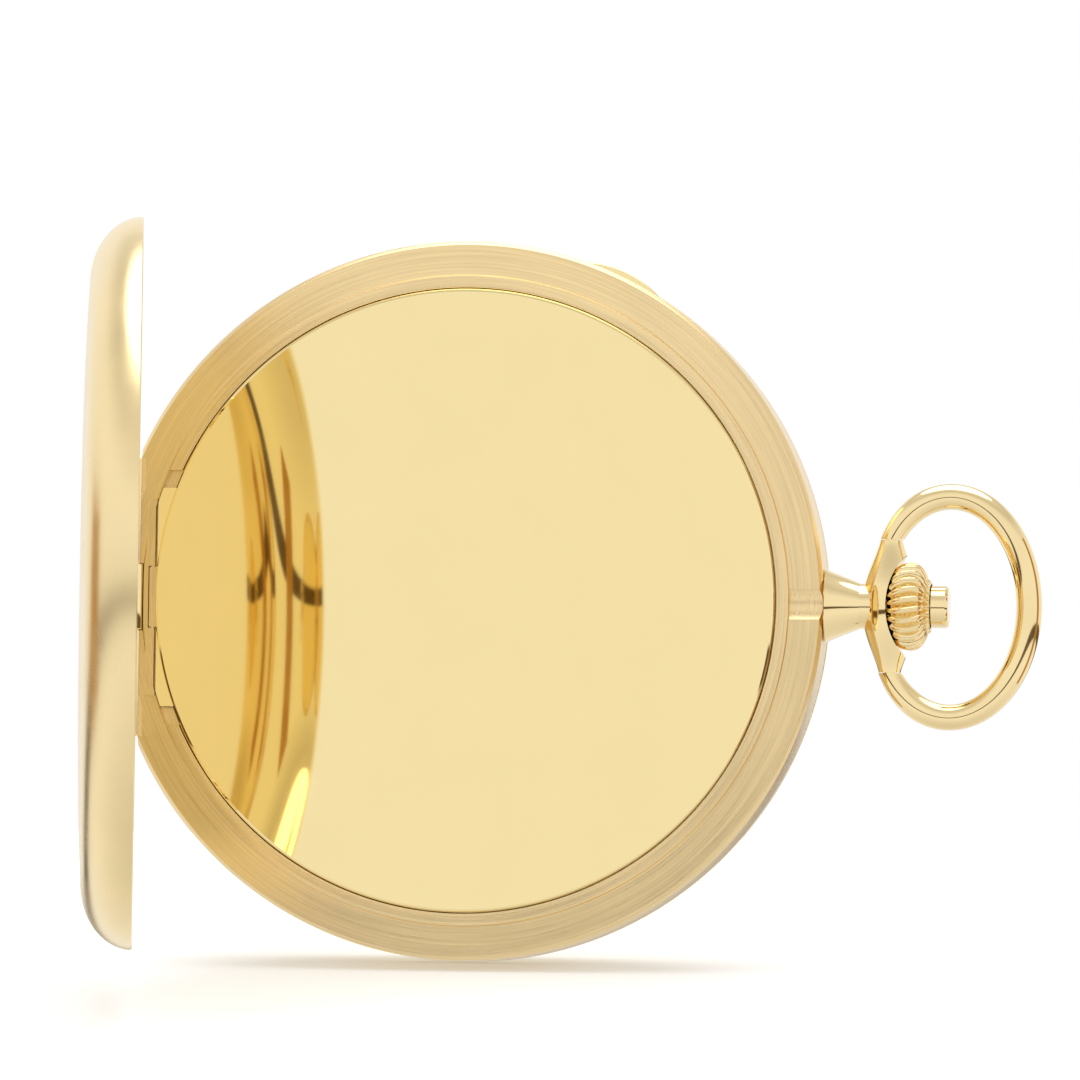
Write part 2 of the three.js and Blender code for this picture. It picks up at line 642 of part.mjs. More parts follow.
// The arbor turns in the plate and the bridge; the spring hooks on its thick middle.
// The arbor: a pivot in the plate, the hub that the mainspring hooks on, and the ratchet's seat.
function barrelArbor() {
  const plateEnd = [[0, 5.3], [0.6, 5.3], [0.6, 5.9], [1.15, 5.9]];
  const hub = [[1.15, 6.35], [1.7, 6.35], [1.7, 6.85], [0.95, 6.85]];
  const ratchetEnd = [[0.95, 8.12], [0.7, 8.12], [0.7, 8.4], [0, 8.4]];
  const [x, z] = barrelGear.at;
  const turned = revolve([...plateEnd, ...hub, ...ratchetEnd], SMALL_ROUND).translate(x, 0, z);
  return cut(turned, boss([x, z], 0.35, [7.2, 9], 8));
}

addPart('barrel_arbor', barrelArbor(), 'steel');
const springLine = spiralLine(barrelGear.at, 2.1, 6.8, 4, 12);
addPart('mainspring', plate(strip(springLine, 0.2), [6.35, 6.85]), 'steel');

// A wheel on its arbor with its pinion, all turning as one.
function trainWheel({ gear, gearLayer, arms, pinion, pinionLayer, arborR, arborSpan }) {
  const outerR = pitch(gear) - 0.75;
  const shape = crossings(gearShape(gear), gear.at, 1.0, outerR, arms);
  return join(
    plate(shape, gearLayer),
    plate(gearShape(pinion), pinionLayer),
    boss(gear.at, arborR, arborSpan, 10));
}

function centreWheel() {
  const wheel = trainWheel({
    gear: centreGear, gearLayer: LAYER.centreWheel, arms: 5,
    pinion: centrePinion, pinionLayer: [5.95, 6.4], arborR: 0.6, arborSpan: [5.3, 7.95],
  });
  return join(wheel, boss([0, 0], 0.42, [3.62, 5.5], 10));
}

addPart('centre_wheel', centreWheel(), 'brass');
addPart('third_wheel', trainWheel({
  gear: thirdGear, gearLayer: LAYER.thirdWheel, arms: 4,
  pinion: thirdPinion, pinionLayer: [6.6, 7.35], arborR: 0.3, arborSpan: [5.3, 7.95],
}), 'brass');
addPart('fourth_wheel', trainWheel({
  gear: fourthGear, gearLayer: LAYER.fourthWheel, arms: 4,
  pinion: fourthPinion, pinionLayer: [6.4, 6.9], arborR: 0.3, arborSpan: [4.18, 7.95],
}), 'brass');

// Fifteen hooked teeth that lean the way the wheel turns.
function escapeWheel() {
  const { at } = escapePinion;
  const points = [];
  for (let i = 0; i < 15; i++) {
    const root = (i * TAU) / 15;
    points.push(offset(at, polar(ESCAPE_R - 0.65, root)));
    points.push(offset(at, polar(ESCAPE_R, root + 0.22)));
    points.push(offset(at, polar(ESCAPE_R - 0.65, root + 0.12)));
  }
  const shape = crossings(polygon(points), at, 0.75, 1.6, 4);
  return join(
    plate(shape, LAYER.escapement),
    plate(gearShape(escapePinion), [6.75, 7.15]),
    boss(at, 0.22, [5.3, 7.95], 8));
}

addPart('escape_wheel', escapeWheel(), 'steel');

// The lever: two pallet arms over the escape wheel and a fork reaching to the balance roller.
function palletFork() {
  const side = (angle, reach) => offset(PALLET_AT, polar(reach, towardsBalance + angle));
  const pallets = [1, -1].flatMap((hand) => [
    link(PALLET_AT, 0.4, side(hand * 1.95, 2.35), 0.25),
    link(side(hand * 1.95, 2.35), 0.22, side(hand * 2.15, 2.75), 0.12),
  ]);
  const fork = link(PALLET_AT, 0.35, side(0, 4.15), 0.2);
  const horns = [1, -1].map((hand) => link(side(0, 4.1), 0.18, side(hand * 0.09, 4.75), 0.1));
  const flat = [...pallets, fork, ...horns].map((shape) => plate(shape, LAYER.escapement));
  return join(...flat, boss(PALLET_AT, 0.18, [5.5, 7.4], 8));
}

addPart('pallet_fork', palletFork(), 'steel');

// Balance rim, two arms, staff, and the roller with its impulse pin between the fork's horns.
function balanceWheel() {
  const { at, outerR, innerR } = BALANCE;
  const rim = cut(boss(at, outerR, LAYER.balance, 24), boss(at, innerR, [7, 8], 24));
  const along = angleTo(BALANCE.at, PALLET_AT);
  const armEnds = [-1, 1].map((side) => offset(at, polar(side * (innerR + 0.2), along)));
  const arms = strip(armEnds, 0.7);
  const impulsePin = boss(offset(at, polar(0.72, along)), 0.1, [7.1, 7.45], 8);
  return join(
    rim, plate(arms, LAYER.balance), boss(at, 0.9, [7.32, 7.46]), boss(at, 0.2, [5.45, 8.3], 8),
    boss(at, 0.5, [7.4, 7.8]), impulsePin);
}

addPart('balance_wheel', balanceWheel(), 'brass');
const hairLine = spiralLine(BALANCE.at, 0.1, 3.4, 4, 12);
const hairCoil = plate(strip(hairLine, 0.12), LAYER.hairspring);
addPart('hairspring', cut(hairCoil, boss(BALANCE.at, 0.26, [7, 8.5])), 'bluedSteel');

// ---------------------------------------------------------------- winding and setting work
const ARBOR_R = 0.75;
addPart('winding_arbor', cut(barX(ARBOR_R, [11.2, 18.3]), barX(0.46, [15.8, 19])), 'steel');

// A toothed ring on the stem axis.
function stemWheel(radius, [x0, x1], teeth, bore) {
  const points = [];
  for (let i = 0; i < teeth; i++) {
    points.push(polar(radius, (i * TAU) / teeth));
    points.push(polar(radius * 0.85, ((i + 0.5) * TAU) / teeth));
  }
  const bar = new THREE.ExtrudeGeometry(polygon(points), { depth: x1 - x0, bevelEnabled: false });
  bar.rotateY(Math.PI / 2).translate(x0, -STEM_DEPTH, 0);
  return cut(bar, barX(bore, [x0 - 1, x1 + 1]));
}

addPart('winding_pinion', stemWheel(1.42, [13.7, 14.9], 12, 0.82), 'steel');
addPart('clutch_wheel', stemWheel(1.08, [12.0, 13.5], 10, 0.82), 'steel');

const cannonGear = { teeth: 12, module: 0.2083, at: [0, 0], phase: 0 };
const minuteGear = inMesh(cannonGear, 0, { teeth: 36, module: 0.2083 });
const minutePinion = { teeth: 10, module: 0.2, at: minuteGear.at, phase: 0 };
const hourGear = { teeth: 40, module: 0.2, at: [0, 0] };
hourGear.phase = meshed(minutePinion, hourGear);
const settingGear = inMesh(minuteGear, 0, { teeth: 12, module: 0.2083 });

function cannonPinion() {
  const tube = boss([0, 0], 0.72, [3.65, 5.15]);
  return cut(join(tube, plate(gearShape(cannonGear), LAYER.minuteWheel)), boss([0, 0], 0.47, [3, 6]));
}

function hourWheel() {
  const tube = boss([0, 0], 1.08, [3.95, 4.9]);
  const gear = plate(gearShape(hourGear), LAYER.hourWheel);
  return cut(join(tube, gear), boss([0, 0], 0.8, [3, 6]));
}

function minuteWheel() {
  const gear = plate(gearShape(minuteGear), LAYER.minuteWheel);
  const pinion = plate(gearShape(minutePinion), [4.8, 5.05]);
  return join(gear, pinion, boss(minuteGear.at, 0.3, [4.8, 5.7], 8));
}

addPart('cannon_pinion', cannonPinion(), 'steel');
addPart('minute_wheel', minuteWheel(), 'brass');
addPart('hour_wheel', hourWheel(), 'brass');
const settingPost = boss(settingGear.at, 0.3, [5.0, 5.18], 8);
addPart('setting_wheel', join(plate(gearShape(settingGear), LAYER.minuteWheel), settingPost), 'steel');

// The setting lever's nib sits at the end of the winding arbor; the clutch lever's by the clutch.
const LEVER_LAYER = [4.84, 5.0];
const SETTING_LEVER_AT = [16.1, 3.4];
const CLUTCH_LEVER_AT = [12.75, -3.8];

function nibLever(pivot, nib, nibR) {
  return join(
    plate(link(pivot, 0.75, nib, 0.4), LEVER_LAYER),
    boss(nib, nibR, [4.9, 5.16], 8),
    boss(pivot, 0.4, [4.9, 5.7], 8));
}

addPart('setting_lever', nibLever(SETTING_LEVER_AT, [16.1, 0.3], 0.25), 'steel');
addPart('clutch_lever', nibLever(CLUTCH_LEVER_AT, [12.75, -0.3], 0.25), 'steel');

// ---------------------------------------------------------------- plate and bridges
const FEET = {
  barrelBridge: [[15.8, -5.8], [-1.4, -16.5]],
  trainBridge: [[14.8, 7.4], [-3.0, 16.2]],
  cock: polar(16.8, radians(198)),
};
const CASE_SCREWS = [radians(-118), radians(60)].map((angle) => polar(18.35, angle));
const SCREW = { head: 0.9, shank: 0.45, hole: 0.52 };
const FOOT_R = 1.35;

function mainPlate() {
  const shape = disc(PLATE_R);
  const holes = [
    [[0, 0], 0.75], [thirdGear.at, 0.38], [fourthGear.at, 0.38], [escapePinion.at, 0.32],
    [PALLET_AT, 0.28], [BALANCE.at, 0.3], [barrelGear.at, 0.68], [minuteGear.at, 0.36],
    [SETTING_LEVER_AT, 0.46], [CLUTCH_LEVER_AT, 0.46],
  ];
  const feet = [...FEET.barrelBridge, ...FEET.trainBridge, FEET.cock, ...CASE_SCREWS];
  const bores = [...holes, ...feet.map((at) => [at, SCREW.hole])];
  bores.forEach(([at, radius]) => shape.holes.push(disc(radius, at, 8)));
  return cut(plate(shape, LAYER.plate), block([10.9, 20], [5, 6], [-1.6, 1.6]));
}

addPart('main_plate', mainPlate(), 'gilt');

// A bridge: a field of the movement's disc on feet, kept clear of the balance.
function bridgePlate(field, feet, tools) {
  const slab = common(boss([0, 0], BRIDGE_R, LAYER.bridge, ROUND), plate(polygon(field), LAYER.bridge));
  const legs = feet.map((at) => boss(at, FOOT_R, [5.87, 7.8]));
  const holes = feet.map((at) => boss(at, SCREW.hole, [5, 9], 10));
  return cut(join(slab, ...legs), boss(BALANCE.at, BALANCE.clearR, [7, 9], 40), ...holes, ...tools);
}

const barrelField = [[-3.4, -20], [20, -20], [20, 2.2], [-3.4, 2.2]];
const barrelTools = [
  boss(barrelGear.at, 1.05, [7, 9]),
  boss([0, 0], 0.68, [7, 9]),
  boss(CROWN_WHEEL.at, 3.35, [7.74, 9], 24),
  block([13.4, 15.2], [7, 9], [-1.65, 1.65]),
  boss(CLICK_AT, 0.35, [7, 9], 8),
];
addPart('barrel_bridge', bridgePlate(barrelField, FEET.barrelBridge, barrelTools), 'gilt');

const trainField = [[-9, 20], [-9, 5.5], [-3, 2.7], [20, 2.7], [20, 20]];
const trainTools = [
  boss(CROWN_WHEEL.at, 3.6, [7.74, 9], 24),
  boss(thirdGear.at, 0.38, [7, 9], 8),
  boss(fourthGear.at, 0.38, [7, 9], 8),
  boss(escapePinion.at, 0.3, [7, 9], 8),
];
addPart('train_bridge', bridgePlate(trainField, FEET.trainBridge, trainTools), 'gilt');

function balanceCock() {
  const arm = plate(link(FEET.cock, 1.95, BALANCE.at, 1.5), LAYER.cock);
  const leg = boss(FEET.cock, 1.85, [5.87, 8.1], 16);
  return cut(join(arm, leg), boss(FEET.cock, SCREW.hole, [5, 9], 10), boss(BALANCE.at, 0.3, [7, 8.9], 8));
}

addPart('balance_cock', balanceCock(), 'gilt');

// The pallet bridge stands on two short feet beside the lever.
function palletBridge() {
  const across = towardsBalance + Math.PI / 2;
  const feet = [1.9, -1.9].map((reach) => offset(PALLET_AT, polar(reach, across)));
  const legs = feet.map((at) => boss(at, 0.45, [5.87, 7.4], 8));
  return cut(join(plate(link(feet[0], 0.55, feet[1], 0.55), LAYER.palletBridge), ...legs),
    boss(PALLET_AT, 0.26, [7, 8], 8));
}

addPart('pallet_bridge', palletBridge(), 'gilt');

// ---------------------------------------------------------------- ratchet, crown wheel and click
const ratchet = cut(plate(gearShape(RATCHET), LAYER.ratchet), boss(RATCHET.at, 0.74, [8, 9]));
addPart('ratchet_wheel', ratchet, 'steel');

function crownWheel() {
  const [x, z] = CROWN_WHEEL.at;
  const under = revolve([[2.4, 7.82], [2.95, 7.82], [2.95, 8.2], [2.4, 8.2]], 24).translate(x, 0, z);
  return cut(join(plate(gearShape(CROWN_WHEEL), LAYER.ratchet), under), boss([x, z], 0.5, [7, 9]));
}

addPart('crown_wheel', crownWheel(), 'steel');

function click() {
  const towards = angleTo(CLICK_AT, RATCHET.at);
  const reach = Math.hypot(CLICK_AT[0] - RATCHET.at[0], CLICK_AT[1] - RATCHET.at[1]);
  const nose = offset(CLICK_AT, polar(reach - 7.45, towards + 0.12));
  const body = plate(link(CLICK_AT, 0.8, nose, 0.12), LAYER.click);
  return join(body, boss(CLICK_AT, 0.3, [7.6, 8.2], 8));
}

addPart('click', click(), 'steel');
const clickSpringLine = arcLine([0, 0], 18.05, radians(-48), radians(-29), 5);
const clickSpringLeaf = plate(strip(clickSpringLine, 0.22), LAYER.clickSpring);
const clickSpringFoot = boss(polar(17.9, radians(-29)), 0.6, LAYER.clickSpring, 10);
addPart('click_spring', join(clickSpringLeaf, clickSpringFoot), 'steel');

// ---------------------------------------------------------------- screws
// A slotted screw whose head bears at the given depth.
function screw([x, z], headDepth, headR, shankR, tipDepth) {
  const top = headDepth + 0.26;
  const head = [[0, top], [headR, top], [headR, headDepth]];
  const shank = [[shankR, headDepth], [shankR, tipDepth], [0, tipDepth]];
  const slot = block([-2, 2], [top - 0.1, top + 1], [-0.11, 0.11]);
  return cut(revolve([...head, ...shank], SMALL_ROUND), slot).translate(x, 0, z);
}

// A screw that reaches into the main plate.
function plateScrew(at, headDepth) {
  return screw(at, headDepth, SCREW.head, SCREW.shank, LAYER.plate[0] + 0.2);
}

const SEAT = 0.02;
const bridgeTop = LAYER.bridge[1] + SEAT;
const cockTop = LAYER.cock[1] + SEAT;
const ratchetTop = LAYER.ratchet[1] + SEAT;
const ledgeTop = 6.5;
const SCREWS = {
  ratchet_screw: screw(RATCHET.at, ratchetTop - 0.01, 0.6, 0.3, 7.39),
  crown_wheel_screw: screw(CROWN_WHEEL.at, ratchetTop, 0.9, 0.4, 7.77),
  barrel_bridge_screw_1: plateScrew(FEET.barrelBridge[0], bridgeTop),
  barrel_bridge_screw_2: plateScrew(FEET.barrelBridge[1], bridgeTop),
  train_bridge_screw_1: plateScrew(FEET.trainBridge[0], bridgeTop),
  train_bridge_screw_2: plateScrew(FEET.trainBridge[1], bridgeTop),
  cock_screw: plateScrew(FEET.cock, cockTop),
  case_screw_1: plateScrew(CASE_SCREWS[0], ledgeTop),
  case_screw_2: plateScrew(CASE_SCREWS[1], ledgeTop),
};
Object.entries(SCREWS).forEach(([name, geometry]) => addPart(name, geometry, 'bluedSteel'));

// ---------------------------------------------------------------- dial and hands
function dial() {
  const shape = disc(DIAL_R);
  shape.holes.push(disc(1.3, [0, 0], 16), disc(0.45, fourthGear.at, 8));
  return plate(shape, LAYER.dial);
}

addPart('dial', dial(), 'enamel');

// A spade hand: a hub, a slim stalk, a leaf and a fine tip.
function hand({ at, turns, hubR, boreR, length, leafR, tail, depth }) {
  const along = (reach) => offset(at, polar(reach, clockAngle(turns)));
  const leafAt = length * 0.74;
  const pieces = [
    link(along(-tail), 0.14, along(leafAt), 0.2),
    link(along(length * 0.6), 0.16, along(leafAt), leafR),
    link(along(leafAt), leafR, along(length), 0.07),
    disc(hubR, at, 14),
  ];
  return cut(join(...pieces.map((shape) => plate(shape, depth))), boss(at, boreR, [3, 5]));
}

// The angle of a clock hand: twelve o'clock is at -Z and three at +X.
function clockAngle(turns) {
  return (turns - 0.25) * TAU;
}

// The hands show nine minutes past ten and thirty-five seconds.
addPart('hour_hand', hand({
  at: [0, 0], turns: (10 + 9 / 60) / 12, depth: LAYER.hourHand,
  hubR: 1.6, boreR: 1.12, length: 9.6, leafR: 0.85, tail: 0,
}), 'bluedSteel');
addPart('minute_hand', hand({
  at: [0, 0], turns: 9 / 60, depth: LAYER.minuteHand,
  hubR: 1.2, boreR: 0.76, length: 15.0, leafR: 0.6, tail: 0,
}), 'bluedSteel');
addPart('seconds_hand', hand({
  at: fourthGear.at, turns: 35 / 60, depth: LAYER.secondsHand,
  hubR: 0.62, boreR: 0.34, length: 3.4, leafR: 0.16, tail: 1.2,
}), 'bluedSteel');

export default watch;
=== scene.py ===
# Studio picture of a gold hunter pocket watch standing on its rim with the back cover open.
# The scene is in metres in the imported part's frame. The watch's own sizes are in millimetres and are
# scaled by MM; depths are measured from the front cover's flat towards the back.
import json
import math

import bmesh
import bpy
from mathutils import Matrix, Vector


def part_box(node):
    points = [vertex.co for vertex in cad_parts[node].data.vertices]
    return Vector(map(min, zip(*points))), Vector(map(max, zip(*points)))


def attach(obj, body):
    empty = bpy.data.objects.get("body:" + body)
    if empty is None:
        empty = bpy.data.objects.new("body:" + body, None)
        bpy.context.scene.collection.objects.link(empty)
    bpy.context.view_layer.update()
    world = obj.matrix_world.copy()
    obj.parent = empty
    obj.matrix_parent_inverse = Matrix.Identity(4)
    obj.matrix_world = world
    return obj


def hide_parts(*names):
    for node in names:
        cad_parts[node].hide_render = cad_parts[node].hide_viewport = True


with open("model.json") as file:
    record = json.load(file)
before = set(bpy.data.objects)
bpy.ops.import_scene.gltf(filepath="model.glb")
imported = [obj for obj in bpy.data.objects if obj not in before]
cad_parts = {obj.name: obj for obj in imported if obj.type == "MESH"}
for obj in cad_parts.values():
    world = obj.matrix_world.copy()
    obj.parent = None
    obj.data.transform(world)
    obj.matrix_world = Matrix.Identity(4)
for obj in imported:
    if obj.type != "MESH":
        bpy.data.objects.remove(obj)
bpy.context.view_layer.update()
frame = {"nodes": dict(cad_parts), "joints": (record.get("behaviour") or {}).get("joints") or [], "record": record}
MM = 0.001
TAU = 2 * math.pi
JOINTS = {joint["name"]: joint for joint in frame["joints"]}


# ---------------------------------------------------------------- places read from the frame
def centre_of(node):
    low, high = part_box(node)
    return (low + high) / 2


def hinge_place(name):
    """The hinge's distance from the watch axis along X and its depth, in millimetres."""
    x, y, _ = JOINTS[name]["pos_m"]
    return x / MM, -y / MM


CASE_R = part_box("case_band")[1].z / MM
STEM_DEPTH = -centre_of("winding_stem").y / MM
FRONT_HINGE = hinge_place("front_cover_hinge")
BACK_HINGE = hinge_place("back_cover_hinge")
CUVETTE_HINGE = hinge_place("cuvette_hinge")
BACK_OPEN = math.radians(-JOINTS["back_cover_hinge"]["range_deg"][0])
BOW_AXIS_X = JOINTS["bow_swivel"]["pos_m"][0] / MM

# Cover proportions, in millimetres: the domes are sheet metal that ends in a wider flat rim.
COVER_HEIGHT = 3.8
FRONT_RIM = 3.8
BACK_RIM = 8.6
SHEET = 0.5
SHOULDER_R = 19.6
RIM_WALL = 0.6
DOME_SAG = 0.35

# Hinge tubes, in millimetres: the knuckles' radius, the whole length and the middle knuckle's length.
FRONT_TUBES = {"knuckle": 0.8, "length": 19.5, "middle": 4.4}
BACK_TUBES = {"knuckle": 0.36, "length": 18.6, "middle": 4.4}
CUVETTE_TUBES = {"knuckle": 0.26, "length": 13.2, "middle": 4.0}
HINGE_GAP = 0.06

# Segments round a turned shape.
FINE = 288
SMOOTH = 128
MEDIUM = 96
SMALL = 32


# ---------------------------------------------------------------- mesh helpers
def new_object(name, vertices, faces):
    """A linked object from points and faces, with its doubled points merged and its faces turned out."""
    mesh = bpy.data.meshes.new(name)
    mesh.from_pydata([tuple(v) for v in vertices], [], faces)
    made = bmesh.new()
    made.from_mesh(mesh)
    bmesh.ops.remove_doubles(made, verts=made.verts, dist=1e-7)
    bmesh.ops.recalc_face_normals(made, faces=made.faces)
    made.to_mesh(mesh)
    made.free()
    obj = bpy.data.objects.new(name, mesh)
    bpy.context.scene.collection.objects.link(obj)
    return obj


def about_watch(radius, along, angle):
    """A turned point: `along` is a depth."""
    return Vector((radius * math.cos(angle), -along, radius * math.sin(angle))) * MM


def about_stem(radius, along, angle):
    """A turned point: `along` is an x."""
    return Vector((along, radius * math.cos(angle) - STEM_DEPTH, radius * math.sin(angle))) * MM


def along_z(x, depth):
    """A turning function about a line parallel to Z."""
    def turned(radius, along, angle):
        return Vector((x + radius * math.cos(angle), radius * math.sin(angle) - depth, along)) * MM
    return turned


def along_y(x, z):
    """A turning function about a line parallel to the watch axis."""
    def turned(radius, along, angle):
        return Vector((x + radius * math.cos(angle), -along, z + radius * math.sin(angle))) * MM
    return turned


def filleted(points, radius, steps=3):
    """Rounds the corners of a closed outline; corners on the axis and nearly straight ones stay."""
    nearly_straight = math.radians(165)
    most_of_edge = 0.45
    rounded = []
    count = len(points)
    for i, point in enumerate(points):
        here = Vector(point)
        before = Vector(points[i - 1]) - here
        after = Vector(points[(i + 1) % count]) - here
        angle = before.angle(after)
        if point[0] == 0 or angle > nearly_straight:
            rounded.append(tuple(here))
            continue
        reach = min(radius / math.tan(angle / 2), most_of_edge * min(before.length, after.length))
        start = here + before.normalized() * reach
        end = here + after.normalized() * reach
        for k in range(steps + 1):
            t = k / steps
            rounded.append(tuple(start * (1 - t) ** 2 + here * 2 * t * (1 - t) + end * t * t))
    return rounded


def lathe(name, outline, turned, segments=FINE):
    """Turns a closed outline of (radius, along) points into a solid."""
    vertices = [turned(r, along, TAU * s / segments) for s in range(segments) for r, along in outline]
    count = len(outline)
    faces = []
    for s in range(segments):
        for i in range(count):
            j = (i + 1) % count
            if outline[i][0] == 0 and outline[j][0] == 0:
                continue
            t = (s + 1) % segments
            faces.append([s * count + i, s * count + j, t * count + j, t * count + i])
    return new_object(name, vertices, faces)


def tube(name, span, outer, inner, turned, segments=FINE):
    """A plain turned ring between two radii, or a solid bar when the inner one is zero."""
    near, far = span
    return lathe(name, [(inner, near), (outer, near), (outer, far), (inner, far)], turned, segments)


def smooth_line(points, steps):
    """A Catmull-Rom curve through the points."""
    line = []
    for i in range(len(points) - 1):
        a, b = Vector(points[max(i - 1, 0)]), Vector(points[i])
        c, d = Vector(points[i + 1]), Vector(points[min(i + 2, len(points) - 1)])
        for k in range(steps):
            t = k / steps
            bend = (2 * a - 5 * b + 4 * c - d) * t ** 2
            twist = (3 * b - a - 3 * c + d) * t ** 3
            line.append(tuple(0.5 * (2 * b + (c - a) * t + bend + twist)))
    return line + [points[-1]]


def prism(name, outline, near, far):
    """A plan outline of (x, z) points between two depths."""
    count = len(outline)
    vertices = [Vector((x, -depth, z)) * MM for depth in (near, far) for x, z in outline]
    faces = [list(range(count)), list(range(count, 2 * count))]
    faces += [[i, (i + 1) % count, count + (i + 1) % count, count + i] for i in range(count)]
    return new_object(name, vertices, faces)


def block(name, x, depth, z):
    return prism(name, [(x[0], z[0]), (x[1], z[0]), (x[1], z[1]), (x[0], z[1])], *depth)


def combine(base, tool, operation):
    """Applies one boolean to base and deletes the tool."""
    modifier = base.modifiers.new("cut", "BOOLEAN")
    modifier.operation = operation
    modifier.object = tool
    modifier.solver = "EXACT"
    graph = bpy.context.evaluated_depsgraph_get()
    mesh = bpy.data.meshes.new_from_object(base.evaluated_get(graph))
    base.modifiers.clear()
    base.data = mesh
    bpy.data.objects.remove(tool)
    return base


def cut(base, *tools):
    for tool in tools:
        combine(base, tool, "DIFFERENCE")
    return base


def join(base, *tools):
    for tool in tools:
        combine(base, tool, "UNION")
    return base


def shade(obj, degrees):
    """Smooth shading that keeps edges sharper than the given angle."""
    mesh = obj.data
    made = bmesh.new()
    made.from_mesh(mesh)
    limit = math.radians(degrees)
    for face in made.faces:
        face.smooth = True
    for edge in made.edges:
        edge.smooth = len(edge.link_faces) != 2 or edge.calc_face_angle() < limit
    made.to_mesh(mesh)
    made.free()


def piece(obj, body, slot, material, *nodes, degrees=28):
    """Shades a new piece, gives it its material, ties it to a body and hides the nodes it stands for."""
    shade(obj, degrees)
    obj.data.materials.clear()
    obj.data.materials.append(material)
    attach(obj, body)
    if nodes:
        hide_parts(*nodes)


# ---------------------------------------------------------------- materials
class Shader:
    """A small wrapper that adds nodes to one material's tree."""

    def __init__(self, name):
        self.material = bpy.data.materials.new(name)
        self.material.use_nodes = True
        self.tree = self.material.node_tree
        self.surface = self.tree.nodes["Principled BSDF"]

    def node(self, kind, inputs=None, **settings):
        made = self.tree.nodes.new(kind)
        for key, value in settings.items():
            setattr(made, key, value)
        for socket, value in (inputs or {}).items():
            self.put(made.inputs[socket], value)
        return made

    def put(self, socket, value):
        if isinstance(value, bpy.types.NodeSocket):
            self.tree.links.new(value, socket)
        else:
            socket.default_value = value

    def set(self, **values):
        for name, value in values.items():
            self.put(self.surface.inputs[name.replace("_", " ")], value)

    def math(self, operation, first, second=0.0):
        return self.node("ShaderNodeMath", {0: first, 1: second}, operation=operation).outputs[0]

    def position(self):
        return self.node("ShaderNodeTexCoord").outputs["Object"]

    def noise(self, scale, detail=3.0, vector=None):
        inputs = {"Vector": vector or self.position(), "Scale": scale, "Detail": detail}
        return self.node("ShaderNodeTexNoise", inputs).outputs["Fac"]

    def ramp(self, fac, *stops):
        """A colour ramp of (place, colour) stops."""
        made = self.node("ShaderNodeValToRGB", {"Fac": fac})
        elements = made.color_ramp.elements
        while len(elements) < len(stops):
            elements.new(0.5)
        for element, (place, colour) in zip(elements, stops):
            element.position = place
            element.color = (*colour, 1.0)
        return made.outputs["Color"]

    def between(self, fac, low, high):
        """Maps a 0..1 value to low..high."""
        inputs = {"Value": fac, "To Min": low, "To Max": high}
        return self.node("ShaderNodeMapRange", inputs).outputs["Result"]

    def bump(self, height, strength, distance):
        made = self.node("ShaderNodeBump", {"Height": height, "Strength": strength, "Distance": distance})
        return made.outputs["Normal"]

    def ring_position(self, fine, coarse):
        """Coordinates that follow circles about the watch axis: fine across them, coarse along them."""
        split = self.node("ShaderNodeSeparateXYZ", {"Vector": self.position()})
        x, y, z = (split.outputs[axis] for axis in "XYZ")
        squares = self.math("ADD", self.math("MULTIPLY", x, x), self.math("MULTIPLY", z, z))
        radius = self.math("SQRT", squares)
        angle = self.math("ARCTAN2", z, x)
        along = self.math("MULTIPLY", angle, coarse)
        across = self.math("MULTIPLY", radius, fine)
        deep = self.math("MULTIPLY", y, fine)
        return self.node("ShaderNodeCombineXYZ", {"X": across, "Y": along, "Z": deep}).outputs["Vector"]


def scaled(colour, factor):
    return tuple(min(1.0, channel * factor) for channel in colour)


def polished(name, colour, roughness, waviness=0.02, smears=0.05):
    """Metal polished by hand: a soft waviness and faint smears."""
    shader = Shader(name)
    smear = shader.noise(220.0, 4.0)
    wave = shader.noise(90.0, 1.0)
    tone = shader.ramp(smear, (0.25, scaled(colour, 1 - smears)), (0.8, scaled(colour, 1 + smears)))
    shader.set(Base_Color=tone, Metallic=1.0)
    shader.set(Roughness=shader.between(smear, roughness * 0.6, roughness * 1.5))
    if waviness:
        shader.set(Normal=shader.bump(wave, waviness, 0.001))
    return shader.material


def brushed(name, colour, roughness, lines_per_mm=9.0, depth=0.12):
    """Metal brushed along circles about the watch axis."""
    shader = Shader(name)
    lines = shader.noise(1.0, 5.0, shader.ring_position(1000.0 * lines_per_mm, 2.5))
    broad = shader.noise(120.0, 2.0)
    both = shader.math("ADD", shader.math("MULTIPLY", lines, 0.8), shader.math("MULTIPLY", broad, 0.2))
    tone = shader.ramp(both, (0.3, scaled(colour, 0.82)), (0.7, scaled(colour, 1.08)))
    shader.set(Base_Color=tone, Metallic=1.0)
    shader.set(Roughness=shader.between(lines, roughness * 0.75, roughness * 1.25))
    shader.set(Anisotropic=0.35, Tangent=shader.node("ShaderNodeTangent", axis="Y").outputs["Tangent"])
    shader.set(Normal=shader.bump(lines, depth, 0.0001))
    return shader.material


def frosted(name, colour, roughness, grain_per_mm=14.0, depth=0.15):
    """Metal with a fine even grain."""
    shader = Shader(name)
    grain = shader.noise(1000.0 * grain_per_mm, 3.0)
    cloud = shader.noise(160.0, 3.0)
    tone = shader.ramp(cloud, (0.3, scaled(colour, 0.86)), (0.75, scaled(colour, 1.08)))
    shader.set(Base_Color=tone, Metallic=1.0)
    shader.set(Roughness=shader.between(cloud, roughness * 0.8, roughness * 1.2))
    shader.set(Normal=shader.bump(grain, depth, 0.00005))
    return shader.material


